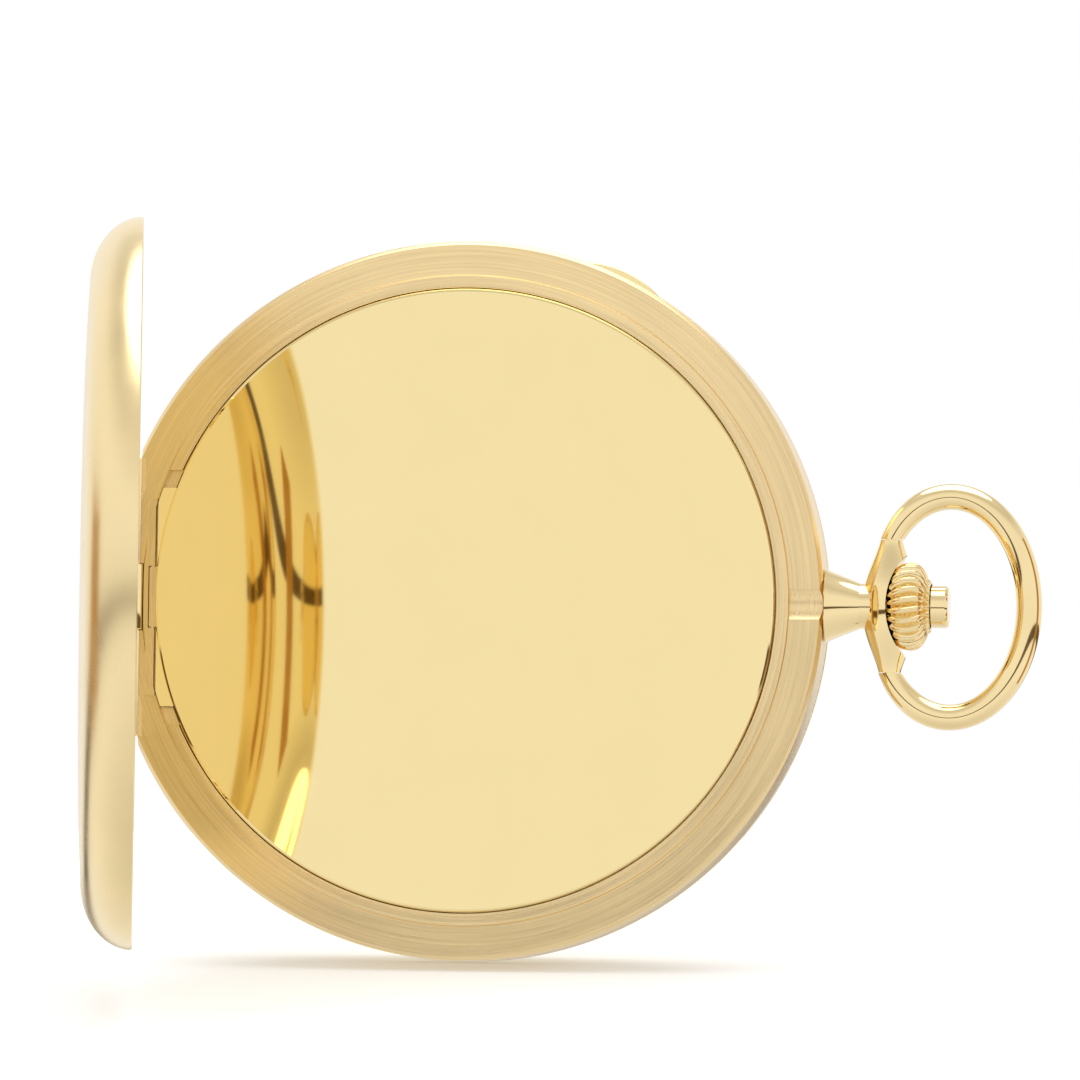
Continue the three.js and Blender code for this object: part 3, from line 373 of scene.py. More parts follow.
def enamelled(name, colour):
    """A glossy coat over a flat colour with a faint cloud."""
    shader = Shader(name)
    cloud = shader.noise(150.0, 4.0)
    speck = shader.noise(2500.0, 2.0)
    tone = shader.ramp(cloud, (0.3, scaled(colour, 0.95)), (0.8, colour))
    shader.set(Base_Color=tone, Roughness=shader.between(cloud, 0.12, 0.2), Coat_Weight=0.5)
    shader.set(Normal=shader.bump(speck, 0.03, 0.00002))
    return shader.material


def glassy(name):
    """Clear glass with faint smears."""
    shader = Shader(name)
    smear = shader.noise(140.0, 3.0)
    tone = shader.ramp(smear, (0.3, (0.97, 0.98, 0.98)), (0.8, (1.0, 1.0, 1.0)))
    shader.set(Base_Color=tone, Roughness=shader.between(smear, 0.0, 0.03))
    shader.set(Transmission_Weight=1.0, IOR=1.5)
    return shader.material


POLISHED_GOLD = polished("polished_gold", (0.91, 0.73, 0.40), roughness=0.06, waviness=0.008)
COVER_GOLD = polished("cover_gold", (0.92, 0.74, 0.41), roughness=0.24, waviness=0.0)
MIRROR_GOLD = polished("mirror_gold", (0.91, 0.75, 0.39), roughness=0.03, waviness=0.003, smears=0.012)
BRUSHED_GOLD = brushed("brushed_gold", (0.92, 0.71, 0.38), roughness=0.3)
GILT_PLATE = frosted("gilt_plate", (0.80, 0.58, 0.26), roughness=0.34)
WHEEL_BRASS = brushed("wheel_brass", (0.78, 0.60, 0.30), roughness=0.25)
STEEL = brushed("steel", (0.62, 0.63, 0.65), roughness=0.2)
BLUED_STEEL = polished("blued_steel", (0.03, 0.06, 0.26), roughness=0.14)
ENAMEL = enamelled("enamel", (0.90, 0.89, 0.85))
INK = enamelled("dial_ink", (0.02, 0.02, 0.025))
GLASS = glassy("crystal_glass")
RUBY = enamelled("jewel_ruby", (0.55, 0.02, 0.08))
SLOT_MATERIALS = {
    "polished_gold": POLISHED_GOLD, "mirror_gold": MIRROR_GOLD, "brushed_gold": BRUSHED_GOLD,
    "gilt_plate": GILT_PLATE, "wheel_brass": WHEEL_BRASS, "steel": STEEL, "blued_steel": BLUED_STEEL,
    "enamel": ENAMEL, "crystal_glass": GLASS,
}


# ---------------------------------------------------------------- hinges
def bar_z(name, place, radius, span, segments=SMALL):
    """A round bar parallel to the hinges."""
    return tube(name, span, radius, 0, along_z(*place), segments)


def knuckle_tube(name, place, radius, span):
    """A hinge tube with slightly rounded ends."""
    rounding = 0.08
    near, far = span
    outline = filleted([(0, near), (radius, near), (radius, far), (0, far)], rounding)
    return lathe(name, outline, along_z(*place), SMALL)


def knuckle_spans(tubes):
    """The middle knuckle's span and the two outer ones."""
    inner = tubes["middle"] / 2
    outer = tubes["length"] / 2
    return (-inner, inner), [(inner + HINGE_GAP, outer), (-outer, -inner - HINGE_GAP)]


def trough(place, tubes, radius):
    """The round groove that leaves room for all of a hinge's tubes."""
    half = tubes["length"] / 2 + HINGE_GAP
    return bar_z("trough", place, radius, (-half, half))


def middle_trough(place, tubes):
    """The groove for the middle tube alone."""
    half = tubes["middle"] / 2 + HINGE_GAP
    return bar_z("trough", place, tubes["knuckle"] + HINGE_GAP, (-half, half))


# ---------------------------------------------------------------- covers
def dome_line(inset):
    """Half outline of a cover's dome: flat in the middle, rounding over the shoulder to the rim."""
    top = COVER_HEIGHT - inset
    shoulder_height = COVER_HEIGHT - DOME_SAG - inset
    shoulder = CASE_R - SHOULDER_R - (RIM_WALL if inset else 0)
    middle_steps, shoulder_steps = 12, 24
    line = []
    for i in range(middle_steps + 1):
        share = i / middle_steps
        line.append((SHOULDER_R * share, top - DOME_SAG * share ** 3))
    for i in range(1, shoulder_steps + 1):
        angle = math.pi / 2 * i / shoulder_steps
        line.append((SHOULDER_R + shoulder * math.sin(angle), shoulder_height * math.cos(angle)))
    return line


def cover_shell(name, rim, side):
    """A sheet dome whose rim is turned flat with softened edges."""
    outer = dome_line(0)
    inner = dome_line(SHEET)
    soft, step = 0.07, 0.02
    rim_edge = [(CASE_R - step, soft), (CASE_R - soft, 0), (CASE_R - RIM_WALL + soft, 0)]
    line = outer[:-1] + rim_edge + inner[:-1][::-1]
    return lathe(name, [(r, rim + side * height) for r, height in line], about_watch)


def polish_inside(shell, rim):
    """Gives the faces that look into the case the mirror finish; the outside keeps the soft one."""
    shell.data.materials.append(MIRROR_GOLD)
    heart = Vector((0, -rim * MM, 0))
    for face in shell.data.polygons:
        if face.normal.dot(face.center - heart) < 0:
            face.material_index = 1


def finished_cover(name, place, tubes, rim, side):
    """A cover with room for the fixed tubes, its own middle tube and the web that carries it."""
    shell = cover_shell(name, rim, side)
    cut(shell, trough(place, tubes, tubes["knuckle"] + HINGE_GAP))
    middle, _ = knuckle_spans(tubes)
    x, depth = place
    web_height = 2.0
    web_depth = sorted((depth, depth + side * web_height))
    web = block("web", x=(x - 0.35, x + 0.2), depth=web_depth, z=middle)
    dome = [(0, rim)] + [(r, rim + side * h) for r, h in dome_line(0)]
    envelope = lathe("dome", dome, about_watch, MEDIUM)
    combine(web, envelope, "INTERSECT")
    join(shell, web, knuckle_tube("knuckle", place, tubes["knuckle"], middle))
    return shell


LIP = {"turn_deg": 66.25, "centre_r": 17.69, "radius": 6.76, "near": 3.2, "far": 3.72, "inner_r": 23.5}


def thumb_lip():
    """A crescent proud of the front cover's rim, for the thumb nail."""
    angle = math.radians(LIP["turn_deg"])
    x, z = LIP["centre_r"] * math.cos(angle), LIP["centre_r"] * math.sin(angle)
    near, far, radius, rounding = LIP["near"], LIP["far"], LIP["radius"], 0.14
    outline = filleted([(0, near), (radius, near), (radius, far), (0, far)], rounding)
    lip = lathe("lip", outline, along_y(x, z))
    return cut(lip, tube("bore", (2, 5), LIP["inner_r"], 0, about_watch, MEDIUM))


def catch_tab():
    """The tab inside the front cover's rim that the lock spring holds."""
    return block("tab", x=(22.62, 23.7), depth=(3.3, 3.6), z=(-2.2, -1.3))


def front_cover():
    """The front cover with its thumb lip and catch, closed."""
    shell = finished_cover("front_cover_polished", FRONT_HINGE, FRONT_TUBES, FRONT_RIM, -1)
    join(shell, thumb_lip(), catch_tab())
    piece(shell, "front_lid", "polished_gold", COVER_GOLD, "front_cover")
    polish_inside(shell, FRONT_RIM)


def back_cover():
    """The back cover, made closed and then swung open about its hinge."""
    shell = finished_cover("back_cover_polished", BACK_HINGE, BACK_TUBES, BACK_RIM, 1)
    pivot = Vector((BACK_HINGE[0], -BACK_HINGE[1], 0)) * MM
    swing = Matrix.Translation(pivot) @ Matrix.Rotation(-BACK_OPEN, 4, "Z") @ Matrix.Translation(-pivot)
    piece(shell, "back_lid", "polished_gold", COVER_GOLD, "back_cover")
    polish_inside(shell, BACK_RIM)
    shell.data.transform(swing)


# ---------------------------------------------------------------- dust cover
CUVETTE_R = 20.8
CUVETTE_SEAT = 8.1
STRAIGHT_EDGE_X = -20.76
FILED_DEPTH = 8.87
LEAF_HALF = 7.3


def cuvette():
    """A shallow polished pan with a bevelled edge and a straight tab along its hinge."""
    crown_depth, edge_depth, inner_depth = 9.11, 9.0, 8.83
    face = [(r, crown_depth - (crown_depth - edge_depth) * (r / 20.6) ** 2) for r in range(0, 20, 2)]
    edge = [(20.6, edge_depth), (20.72, 8.95), (CUVETTE_R, 8.84)]
    edge += [(CUVETTE_R, 8.2), (20.72, 8.15)]
    inside = [(20.4, 8.15), (20.35, 8.2), (20.35, 8.5), (20.2, 8.56)]
    inside += [(18, 8.66), (10, 8.78), (0, inner_depth)]
    pan = lathe("cuvette_mirror", face + edge + inside, about_watch)
    middle, _ = knuckle_spans(CUVETTE_TUBES)
    tube_room = CUVETTE_TUBES["knuckle"] + HINGE_GAP
    straight_edge = block("straight_edge", x=(-22, STRAIGHT_EDGE_X), depth=(8, 9.5), z=(-6, 6))
    cut(pan, trough(CUVETTE_HINGE, CUVETTE_TUBES, tube_room), straight_edge)
    join(pan, block("root", x=(-20.7, -20.1), depth=(8.5, 8.8), z=middle))
    piece(pan, "dust_lid", "mirror_gold", MIRROR_GOLD, "cuvette", degrees=10)
    cuvette_knuckle(middle)
    cuvette_leaf(tube_room)


def cuvette_knuckle(span):
    """The dust cover's own tube and its web, filed flat."""
    filed = block("cuvette_knuckle", x=(CUVETTE_HINGE[0], -20.3), depth=(8.5, FILED_DEPTH), z=span)
    join(filed, knuckle_tube("knuckle", CUVETTE_HINGE, CUVETTE_TUBES["knuckle"], span))
    cut(filed, block("file", x=(-22, -20), depth=(FILED_DEPTH, 9.5), z=(-6, 6)))
    piece(filed, "dust_lid", "brushed_gold", BRUSHED_GOLD)


def cuvette_leaf(tube_room):
    """The straight tab beside the hinge, pointed where it meets the round of the pan."""
    leaf = block("cuvette_leaf", x=(STRAIGHT_EDGE_X, -19.3), depth=(8.6, 8.88), z=(-LEAF_HALF, LEAF_HALF))
    combine(leaf, tube("reach", (8, 9), 21.6, 0, about_watch), "INTERSECT")
    cut(leaf, trough(CUVETTE_HINGE, CUVETTE_TUBES, tube_room))
    piece(leaf, "dust_lid", "mirror_gold", MIRROR_GOLD)


# ---------------------------------------------------------------- case band and glass
FLAT_X = -21.87
FRONT_TROUGH_R = 1.3
STEM_HOLE_R = 1.75


def fixed_knuckles(name, place, tubes, web_x, web_depth):
    """The two outer knuckles with their webs, filed flush with the round of the case."""
    _, spans = knuckle_spans(tubes)
    made = None
    for span in spans:
        knuckle = knuckle_tube(name, place, tubes["knuckle"], span)
        join(knuckle, block("web", web_x, web_depth, span))
        made = join(made, knuckle) if made else knuckle
    return combine(made, tube("case", (0, 12), CASE_R, 0, about_watch), "INTERSECT")


def stem_bar(radius, span):
    """A round bar along the stem."""
    return tube("bar", span, radius, 0, about_stem, 64)


def nail_groove():
    """The shallow groove across the rear rims by the pendant, where a nail lifts the back cover."""
    groove_depth = 9.86
    bar = stem_bar(1.7, (21.74, 24.5))
    bar.data.transform(Matrix.Translation(Vector((0, STEM_DEPTH - groove_depth, 0)) * MM))
    return bar


def rim_recess():
    """The flat beside the back hinge, where the open cover's rim swings in."""
    swept = bar_z("sweep", BACK_HINGE, 2.35, (-10, 10), MEDIUM)
    return combine(swept, block("side", x=(-25, FLAT_X), depth=(5, 10), z=(-11, 11)), "INTERSECT")


def leaf_recess():
    """The pointed pockets at both ends of the dust cover's straight edge."""
    pocket_x = (STRAIGHT_EDGE_X - HINGE_GAP, -18.5)
    pocket = block("leaf_pocket", x=pocket_x, depth=(CUVETTE_SEAT, 9), z=(-8.5, 8.5))
    return combine(pocket, tube("reach", (8, 9.5), 21.66, 0, about_watch), "INTERSECT")


def nose_slot():
    """The slot that the lock spring's nose moves in."""
    return block("nose_slot", x=(21.0, 22.65), depth=(2.95, 5.5), z=(-2.7, -0.8))


def filed_cuvette_knuckles(ring):
    """Joins the two outer tubes of the dust cover's hinge to the ring, filed flat."""
    _, spans = knuckle_spans(CUVETTE_TUBES)
    x, depth = CUVETTE_HINGE
    for span in spans:
        knuckle = knuckle_tube("knuckle", CUVETTE_HINGE, CUVETTE_TUBES["knuckle"], span)
        cut(knuckle, block("file", x=(-22, -20), depth=(FILED_DEPTH, 9.5), z=(-8, 8)))
        join(ring, knuckle, block("web", x=(-21.4, x), depth=(8.3, depth), z=span))


def case_band():
    """The ring of the case: outer wall, two brushed rims with a step between, and the grooves inside."""
    outer_wall = [(23.7, 3.95), (CASE_R, 4.3), (CASE_R, 8.1), (23.84, 8.36)]
    rear_rims = [(23.76, 8.48), (21.74, 8.5), (21.68, 8.7), (20.88, 8.76)]
    cuvette_seat = [(20.86, CUVETTE_SEAT), (19.6, CUVETTE_SEAT), (19.6, 6.45)]
    ledge = [(18.95, 6.45), (18.95, 5.92)]
    groove = [(22.1, 5.92), (22.1, 4.75), (21.5, 4.75), (21.5, 3.95)]
    outline = filleted(outer_wall + rear_rims + cuvette_seat + ledge + groove, 0.045)
    ring = lathe("case_band_brushed", outline, about_watch)
    filed_cuvette_knuckles(ring)
    cut(
        ring,
        trough(FRONT_HINGE, FRONT_TUBES, FRONT_TROUGH_R),
        rim_recess(),
        middle_trough(BACK_HINGE, BACK_TUBES),
        middle_trough(CUVETTE_HINGE, CUVETTE_TUBES),
        leaf_recess(),
        stem_bar(STEM_HOLE_R, (21, 25)),
        block("lock_pocket", x=(18.8, 21.9), depth=(4.7, 7.85), z=(-2.4, 2.4)),
        nose_slot(),
        nail_groove(),
        block("lift_slot", x=(-21.9, -21.0), depth=(3.8, 5.1), z=(3.6, 5.8)),
    )
    piece(ring, "case", "brushed_gold", BRUSHED_GOLD, "case_band")
    case_knuckles()


def case_knuckles():
    """The outer tubes of the two covers' hinges; the back ones are filed level with the rear rim."""
    front = fixed_knuckles("case_knuckles_front", FRONT_HINGE, FRONT_TUBES, (-22.9, -21.7), (4.0, 5.2))
    piece(front, "case", "polished_gold", POLISHED_GOLD)
    level = 8.49
    back = fixed_knuckles("case_knuckles_back", BACK_HINGE, BACK_TUBES, (-21.92, -21.6), (8.1, level))
    cut(back, block("file", x=(FLAT_X + 0.04, -21), depth=(level, 9.5), z=(-10, 10)))
    piece(back, "case", "polished_gold", COVER_GOLD)


def bezel():
    """The ring that holds the glass."""
    lip = [(20.0, 2.7), (20.6, 2.45), (21.3, 2.85), (21.7, 3.5)]
    seat = [(21.7, 3.85), (21.4, 3.85), (21.4, 4.6), (19.8, 4.6)]
    glass_seat = [(19.8, 3.48), (20.5, 3.48), (20.5, 2.88), (20.0, 2.88)]
    ring = lathe("bezel_polished", filleted(lip + seat + glass_seat, 0.1), about_watch)
    cut(ring, nose_slot())
    piece(ring, "case", "polished_gold", POLISHED_GOLD, "bezel")


def crystal():
    """A domed glass, thinner towards its seat."""
    outer_top, inner_top = 1.7, 2.3
    outside = [(r, outer_top + 1.32 * (r / 20.4) ** 2) for r in range(0, 20, 2)]
    outside += [(20.0, 2.97), (20.4, 3.03)]
    inside = [(20.42, 3.4), (20.3, 3.44), (19.6, 3.42)]
    inside += [(r, inner_top + 1.1 * (r / 19.6) ** 2) for r in range(18, -1, -2)]
    glass = lathe("crystal_domed", outside + inside, about_watch)
    piece(glass, "case", "crystal_glass", GLASS, "crystal")


# ---------------------------------------------------------------- pendant, crown and bow
NECK_BORE = 1.1
NECK_START = 21.95
NECK_END = 26.3
COLLAR_R = 1.5


def pendant_neck():
    """A straight cone on a thin foot, with the bore for the stem."""
    foot = [(1.6, NECK_START), (1.6, CASE_R), (2.42, CASE_R), (2.46, 24.06), (2.42, 24.14)]
    cone = [(2.3, 24.3), (COLLAR_R, NECK_END)]
    outline = foot + cone + [(NECK_BORE, NECK_END), (NECK_BORE, NECK_START)]
    neck = lathe("pendant_neck_polished", outline, about_stem, SMOOTH)
    piece(neck, "case", "polished_gold", POLISHED_GOLD, "pendant_neck", degrees=20)


HOLDER = {"half": 4.42, "end_r": 0.74, "swell": 1.2, "roundness": 1.25}


def stem_ball(name, radius, x):
    """A ball centred on the stem."""
    steps = 48
    half_turn = [math.pi * i / steps for i in range(1, steps)]
    curve = [(radius * math.sin(angle), x - radius * math.cos(angle)) for angle in half_turn]
    return lathe(name, [(0, x - radius)] + curve + [(0, x + radius)], about_stem, MEDIUM)


def bow_holder():
    """The spindle-shaped head that carries the bow, hollowed for the crown, and its collar."""
    half, end_r = HOLDER["half"], HOLDER["end_r"]
    half_steps = 24
    outline = [(0, -half), (end_r, -half)]
    for i in range(1, 2 * half_steps):
        z = half * (i / half_steps - 1)
        bulge = math.cos(math.pi / 2 * z / half) ** HOLDER["roundness"]
        outline.append((end_r + HOLDER["swell"] * bulge, z))
    outline += [(end_r, half), (0, half)]
    head = lathe("bow_holder_polished", outline, along_z(BOW_AXIS_X, STEM_DEPTH), SMOOTH)
    cut(head, stem_ball("hollow", 4.25, 31.9), stem_bar(NECK_BORE, (25, 30)), stem_bar(4, (20, 26.4)))
    piece(head, "case", "polished_gold", POLISHED_GOLD, "bow_holder", degrees=40)
    ring = tube("bow_holder_collar", (NECK_END, 27.45), COLLAR_R, NECK_BORE, about_stem, SMOOTH)
    piece(ring, "case", "polished_gold", POLISHED_GOLD)


BOW = {
    "wire": 0.86, "end_wire": 0.67, "half_x": 5.25, "half_z": 7.35,
    "pivot_z": 4.75, "end_z": 4.46, "past_end": 0.5, "thinning": 0.75,
}


def bow_wire_ring(angle, sweep, sides):
    """One ring of points round the wire, at an angle about the oval's middle."""
    half_x, half_z, full = BOW["half_x"], BOW["half_z"], BOW["wire"]
    centre_x = BOW_AXIS_X + half_x * math.cos(math.asin(BOW["pivot_z"] / half_z))
    out = Vector((math.cos(angle) / half_x, 0, math.sin(angle) / half_z)).normalized()
    centre = Vector((centre_x + half_x * math.cos(angle), -STEM_DEPTH, half_z * math.sin(angle)))
    share = min(1.0, (sweep - abs(angle)) / BOW["thinning"])
    wire = BOW["end_wire"] + (full - BOW["end_wire"]) * math.sin(math.pi / 2 * share)
    centre -= out * (full - wire)
    ring = []
    for s in range(sides):
        turn = TAU * s / sides
        spoke = out * math.cos(turn) + Vector((0, 1, 0)) * math.sin(turn)
        ring.append((centre + wire * spoke) * MM)
    return ring


def bow():
    """An oval wire that thins a little towards the two ends it pivots on, and its pins."""
    end = BOW["end_z"]
    sweep = math.pi - math.asin((end - BOW["past_end"]) / BOW["half_z"])
    steps, sides = 160, 40
    vertices, faces = [], []
    for i in range(steps + 1):
        vertices += bow_wire_ring(sweep * (2 * i / steps - 1), sweep, sides)
    for i in range(steps):
        for s in range(sides):
            t = (s + 1) % sides
            faces.append([i * sides + s, i * sides + t, (i + 1) * sides + t, (i + 1) * sides + s])
    faces += [list(range(sides)), list(range(steps * sides, (steps + 1) * sides))]
    wire = new_object("bow_polished", vertices, faces)
    cut(wire, block("gap", x=(24, 32), depth=(2, 10), z=(-end, end)))
    piece(wire, "bow", "polished_gold", POLISHED_GOLD, "bow")
    pin_near, pin_far, pin_r = 3.3, 5.3, 0.4
    for name, side in (("upper", 1), ("lower", -1)):
        span = sorted((side * pin_near, side * pin_far))
        pin = bar_z(f"bow_pin_{name}_turned", (BOW_AXIS_X, STEM_DEPTH), pin_r, span)
        piece(pin, "case", "polished_gold", POLISHED_GOLD, f"bow_pin_{name}")


CROWN = {
    "flutes": 24, "flute_depth": 0.42, "lean": 0.6, "middle": 29.4, "plain_r": 1.6,
    "pocket": 1.46, "pocket_floor": 30.0,
}


def crown():
    """A fluted onion: rounded ribs with sharp valleys that lean slightly, and a pocket for the pusher."""
    rear = [(1.35, 28.15), (1.75, 28.12), (2.35, 28.45), (2.74, 28.9), (2.93, 29.45)]
    front = [(2.9, 29.95), (2.66, 30.38), (2.25, 30.66), (1.85, 30.8)]
    pocket, floor, bore_r = CROWN["pocket"], CROWN["pocket_floor"], 0.62
    lip = [(1.72, 30.98), (1.6, 31.02), (pocket, 30.96)]
    inner = [(pocket, floor), (bore_r, floor), (bore_r, 28.9), (0.9, 28.5)]
    fade_width, valley_shape, points_per_flute = 0.35, 1.2, 14

    def fluted(radius, along, angle):
        fade = min(1.0, max(0.0, (radius - CROWN["plain_r"]) / fade_width))
        lean = CROWN["lean"] * (along - CROWN["middle"])
        valley = 1 - abs(math.sin(CROWN["flutes"] / 2 * angle + lean))
        return about_stem(radius - CROWN["flute_depth"] * fade * valley ** valley_shape, along, angle)

    outline = smooth_line(rear + front, 5) + lip + inner
    onion = lathe("crown_fluted", outline, fluted, CROWN["flutes"] * points_per_flute)
    piece(onion, "crown", "polished_gold", POLISHED_GOLD, "crown", degrees=36)


PUSHER = {"cap_r": 1.4, "cap_start": 31.06, "cap_end": 32.2, "rod_r": 0.3, "rod_start": 21.0}


def pusher():
    """The button in the crown, and the rod with a cross pin that bends the lock spring."""
    start, end, radius = PUSHER["cap_start"], PUSHER["cap_end"], PUSHER["cap_r"]
    cap = [(0, start), (radius, start), (radius, 32.02), (1.26, end), (0, end)]
    button = lathe("pusher_cap", filleted(cap, 0.035), about_stem, SMOOTH)
    rod = tube("pusher_rod", (PUSHER["rod_start"], 31.1), PUSHER["rod_r"], 0, about_stem, 48)
    join(rod, bar_z("pin", (21.22, STEM_DEPTH), 0.12, (-0.62, 0.62)))
    piece(button, "pusher", "polished_gold", POLISHED_GOLD, "pusher")
    piece(rod, "pusher", "steel", STEEL)


# ---------------------------------------------------------------- dial
DIAL_R = 19.2
DIAL_DEPTH = 4.4
DIAL_BACK = 4.75
SECONDS_AT = (JOINTS["fourth_turn"]["pos_m"][0] / MM, JOINTS["fourth_turn"]["pos_m"][2] / MM)
PRINT_HEIGHT = 0.012
MINUTE_TRACK = (17.55, 18.25)
SECONDS_TRACK = (3.85, 4.25)
NUMERAL_R = 14.9
NUMERAL_SIZE = 3.6


def on_dial(towards_12, towards_3):
    """A place on the dial from distances towards twelve and three o'clock; twelve is at the bottom."""
    return Vector((towards_3, -DIAL_DEPTH, -towards_12)) * MM


def stroke(name, reach, width, turns, centre=(0, 0)):
    """A thin printed radial line from the inner to the outer reach, at a share of a full turn."""
    angle = TAU * turns
    out = Vector((math.sin(angle), 0, -math.cos(angle)))
    across = out.cross(Vector((0, 1, 0))) * width / 2
    middle = Vector((centre[0], -DIAL_DEPTH, centre[1]))
    near, far = reach
    places = ((near, -1), (far, -1), (far, 1), (near, 1))
    corners = [middle + out * r + across * side for r, side in places]
    lift = Vector((0, PRINT_HEIGHT, 0))
    vertices = [corner * MM for corner in corners] + [(corner + lift) * MM for corner in corners]
    faces = [[0, 1, 2, 3], [7, 6, 5, 4]] + [[i, i + 4, (i + 1) % 4 + 4, (i + 1) % 4] for i in range(4)]
    return new_object(name, vertices, faces)


def printed_ring(radius, width, centre=(0, 0)):
    """A thin printed circle."""
    near, far = DIAL_DEPTH - PRINT_HEIGHT, DIAL_DEPTH
    low, high = radius - width / 2, radius + width / 2
    return tube("printed_ring", (near, far), high, low, along_y(*centre), MEDIUM)


def numeral(text, size, place):
    """An hour number, upright as read with twelve o'clock up."""
    curve = bpy.data.curves.new("numeral", "FONT")
    curve.body = text
    curve.size = size * MM
    curve.align_x = "CENTER"
    curve.align_y = "CENTER"
    curve.extrude = PRINT_HEIGHT * MM / 2
    made = bpy.data.objects.new("numeral", curve)
    mesh = bpy.data.meshes.new_from_object(made)
    reading = Matrix(((1, 0, 0), (0, 0, 1), (0, -1, 0))).to_4x4()
    mesh.transform(Matrix.Translation(place + Vector((0, PRINT_HEIGHT * MM / 2, 0))) @ reading)
    bpy.data.objects.remove(made)
    flat = bpy.data.objects.new("numeral", mesh)
    bpy.context.scene.collection.objects.link(flat)
    return flat


def gather(name, parts):
    """Puts separate small pieces into one object without cutting them against each other."""
    made = bmesh.new()
    for part in parts:
        made.from_mesh(part.data)
        bpy.data.objects.remove(part)
    mesh = bpy.data.meshes.new(name)
    made.to_mesh(mesh)
    made.free()
    whole = bpy.data.objects.new(name, mesh)
    bpy.context.scene.collection.objects.link(whole)
    return whole


def dial():
    """A white enamel dial with upright hour numbers, a minute track and small seconds at six."""
    disc = tube("dial_enamel", (DIAL_DEPTH, DIAL_BACK), DIAL_R, 0, about_watch)
    cut(disc, bore(1.3), bore(0.45, SECONDS_AT))
    piece(disc, "case", "enamel", ENAMEL, "dial")
    piece(gather("dial_print", dial_marks()), "case", "enamel", INK)


def dial_marks():
    """The printed tracks and hour numbers; six gives way to the small seconds."""
    fine, line, bold = 0.05, 0.07, 0.2
    marks = [printed_ring(radius, 0.06) for radius in MINUTE_TRACK]
    marks += [printed_ring(radius, fine, SECONDS_AT) for radius in SECONDS_TRACK[::-1]]
    inner, outer = SECONDS_TRACK
    for minute in range(60):
        fifth = minute % 5 == 0
        marks.append(stroke("minute", MINUTE_TRACK, bold if fifth else line, minute / 60))
        reach = (inner, outer + 0.25 if fifth else outer)
        marks.append(stroke("second", reach, fine, minute / 60, SECONDS_AT))
    for hour in (1, 2, 3, 4, 5, 7, 8, 9, 10, 11, 12):
        angle = TAU * hour / 12
        place = on_dial(NUMERAL_R * math.cos(angle), NUMERAL_R * math.sin(angle))
        marks.append(numeral(str(hour), NUMERAL_SIZE, place))
    return marks


def bore(radius, centre=(0, 0)):
    """A round tool through the dial."""
    return tube("bore", (4, 5), radius, 0, along_y(*centre), SMALL)


def jewels():
    """Ruby rings set round the pivot holes of the bridges and the balance cock."""
    bridge_face, cock_face = 8.1, 8.35
    hole, rim, sunk = 0.34, 0.78, 0.02
    faces = dict.fromkeys(("third_turn", "fourth_turn", "escape_turn", "centre_turn"), bridge_face)
    faces["balance_swing"] = cock_face
    rings = []
    for joint, face in faces.items():
        x, _, z = JOINTS[joint]["pos_m"]
        outline = [(hole, face - sunk), (rim, face - sunk)]
        outline += [(rim - 0.1, face + 0.03), (hole, face + 0.015)]
        rings.append(lathe("jewel", outline, along_y(x / MM, z / MM), MEDIUM))
    piece(gather("jewels", rings), "case", "enamel", RUBY)


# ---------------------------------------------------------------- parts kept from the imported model
EDGE_BEVEL = 0.03


def dress_packed_parts():
    """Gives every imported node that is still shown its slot's material and a fine edge bevel."""
    for part in frame["record"]["subparts"]:
        node = frame["nodes"][part["node"]]
        if node.hide_render:
            continue
        node.data.materials.clear()
        node.data.materials.append(SLOT_MATERIALS[part["material_slot"]])
        bevel = node.modifiers.new("edge", "BEVEL")
        bevel.width = EDGE_BEVEL * MM
        bevel.segments = 2
        bevel.limit_method = "ANGLE"
        bevel.angle_limit = math.radians(35)
        bevel.harden_normals = True


# ---------------------------------------------------------------- stage, light and camera
CAMERA_SIDE_DEG = 6.6
CAMERA_RISE_DEG = -2.5
CAMERA_ROLL_DEG = 0.9
CAMERA_DISTANCE = 1.09
CAMERA_LENS_MM = 544.0
AIM_RIGHT = 4.7 * MM
AIM_UP = 4.2 * MM
FLOOR_RISE_DEG = 9.0


def stage_material(name, shade_of_white):
    """A pale matt surface with a little glow of its own."""
    shader = Shader(name)
    mottle = shader.noise(30.0, 2.0)
    tone = shader.ramp(mottle, (0.3, (shade_of_white * 0.995,) * 3), (0.7, (shade_of_white,) * 3))
    shader.set(Base_Color=tone, Roughness=0.9, Specular_IOR_Level=0.0)
    shader.set(Emission_Color=(1.0, 1.0, 1.0, 1.0), Emission_Strength=0.2)
    return shader.material


def add_floor():
    """A pale sheet under the rim that slopes up away from the camera and levels out behind the watch."""
    low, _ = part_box("case_band")
    rise = math.tan(math.radians(FLOOR_RISE_DEG))
    contact_y = -4 * MM
    level_y = 60 * MM
    near_y, far_y, side = -1.6, 3.0, 2.5
    touch = low.z - 0.05 * MM
    heights = [(y, touch + (y - contact_y) * rise) for y in (near_y, level_y)]
    heights.append((far_y, heights[-1][1]))
    vertices = [(x, y, z) for y, z in heights for x in (-side, side)]
    floor = new_object("floor", vertices, [[0, 1, 3, 2], [2, 3, 5, 4]])
    floor.data.materials.append(stage_material("pale_floor", 0.88))
    floor.visible_glossy = False


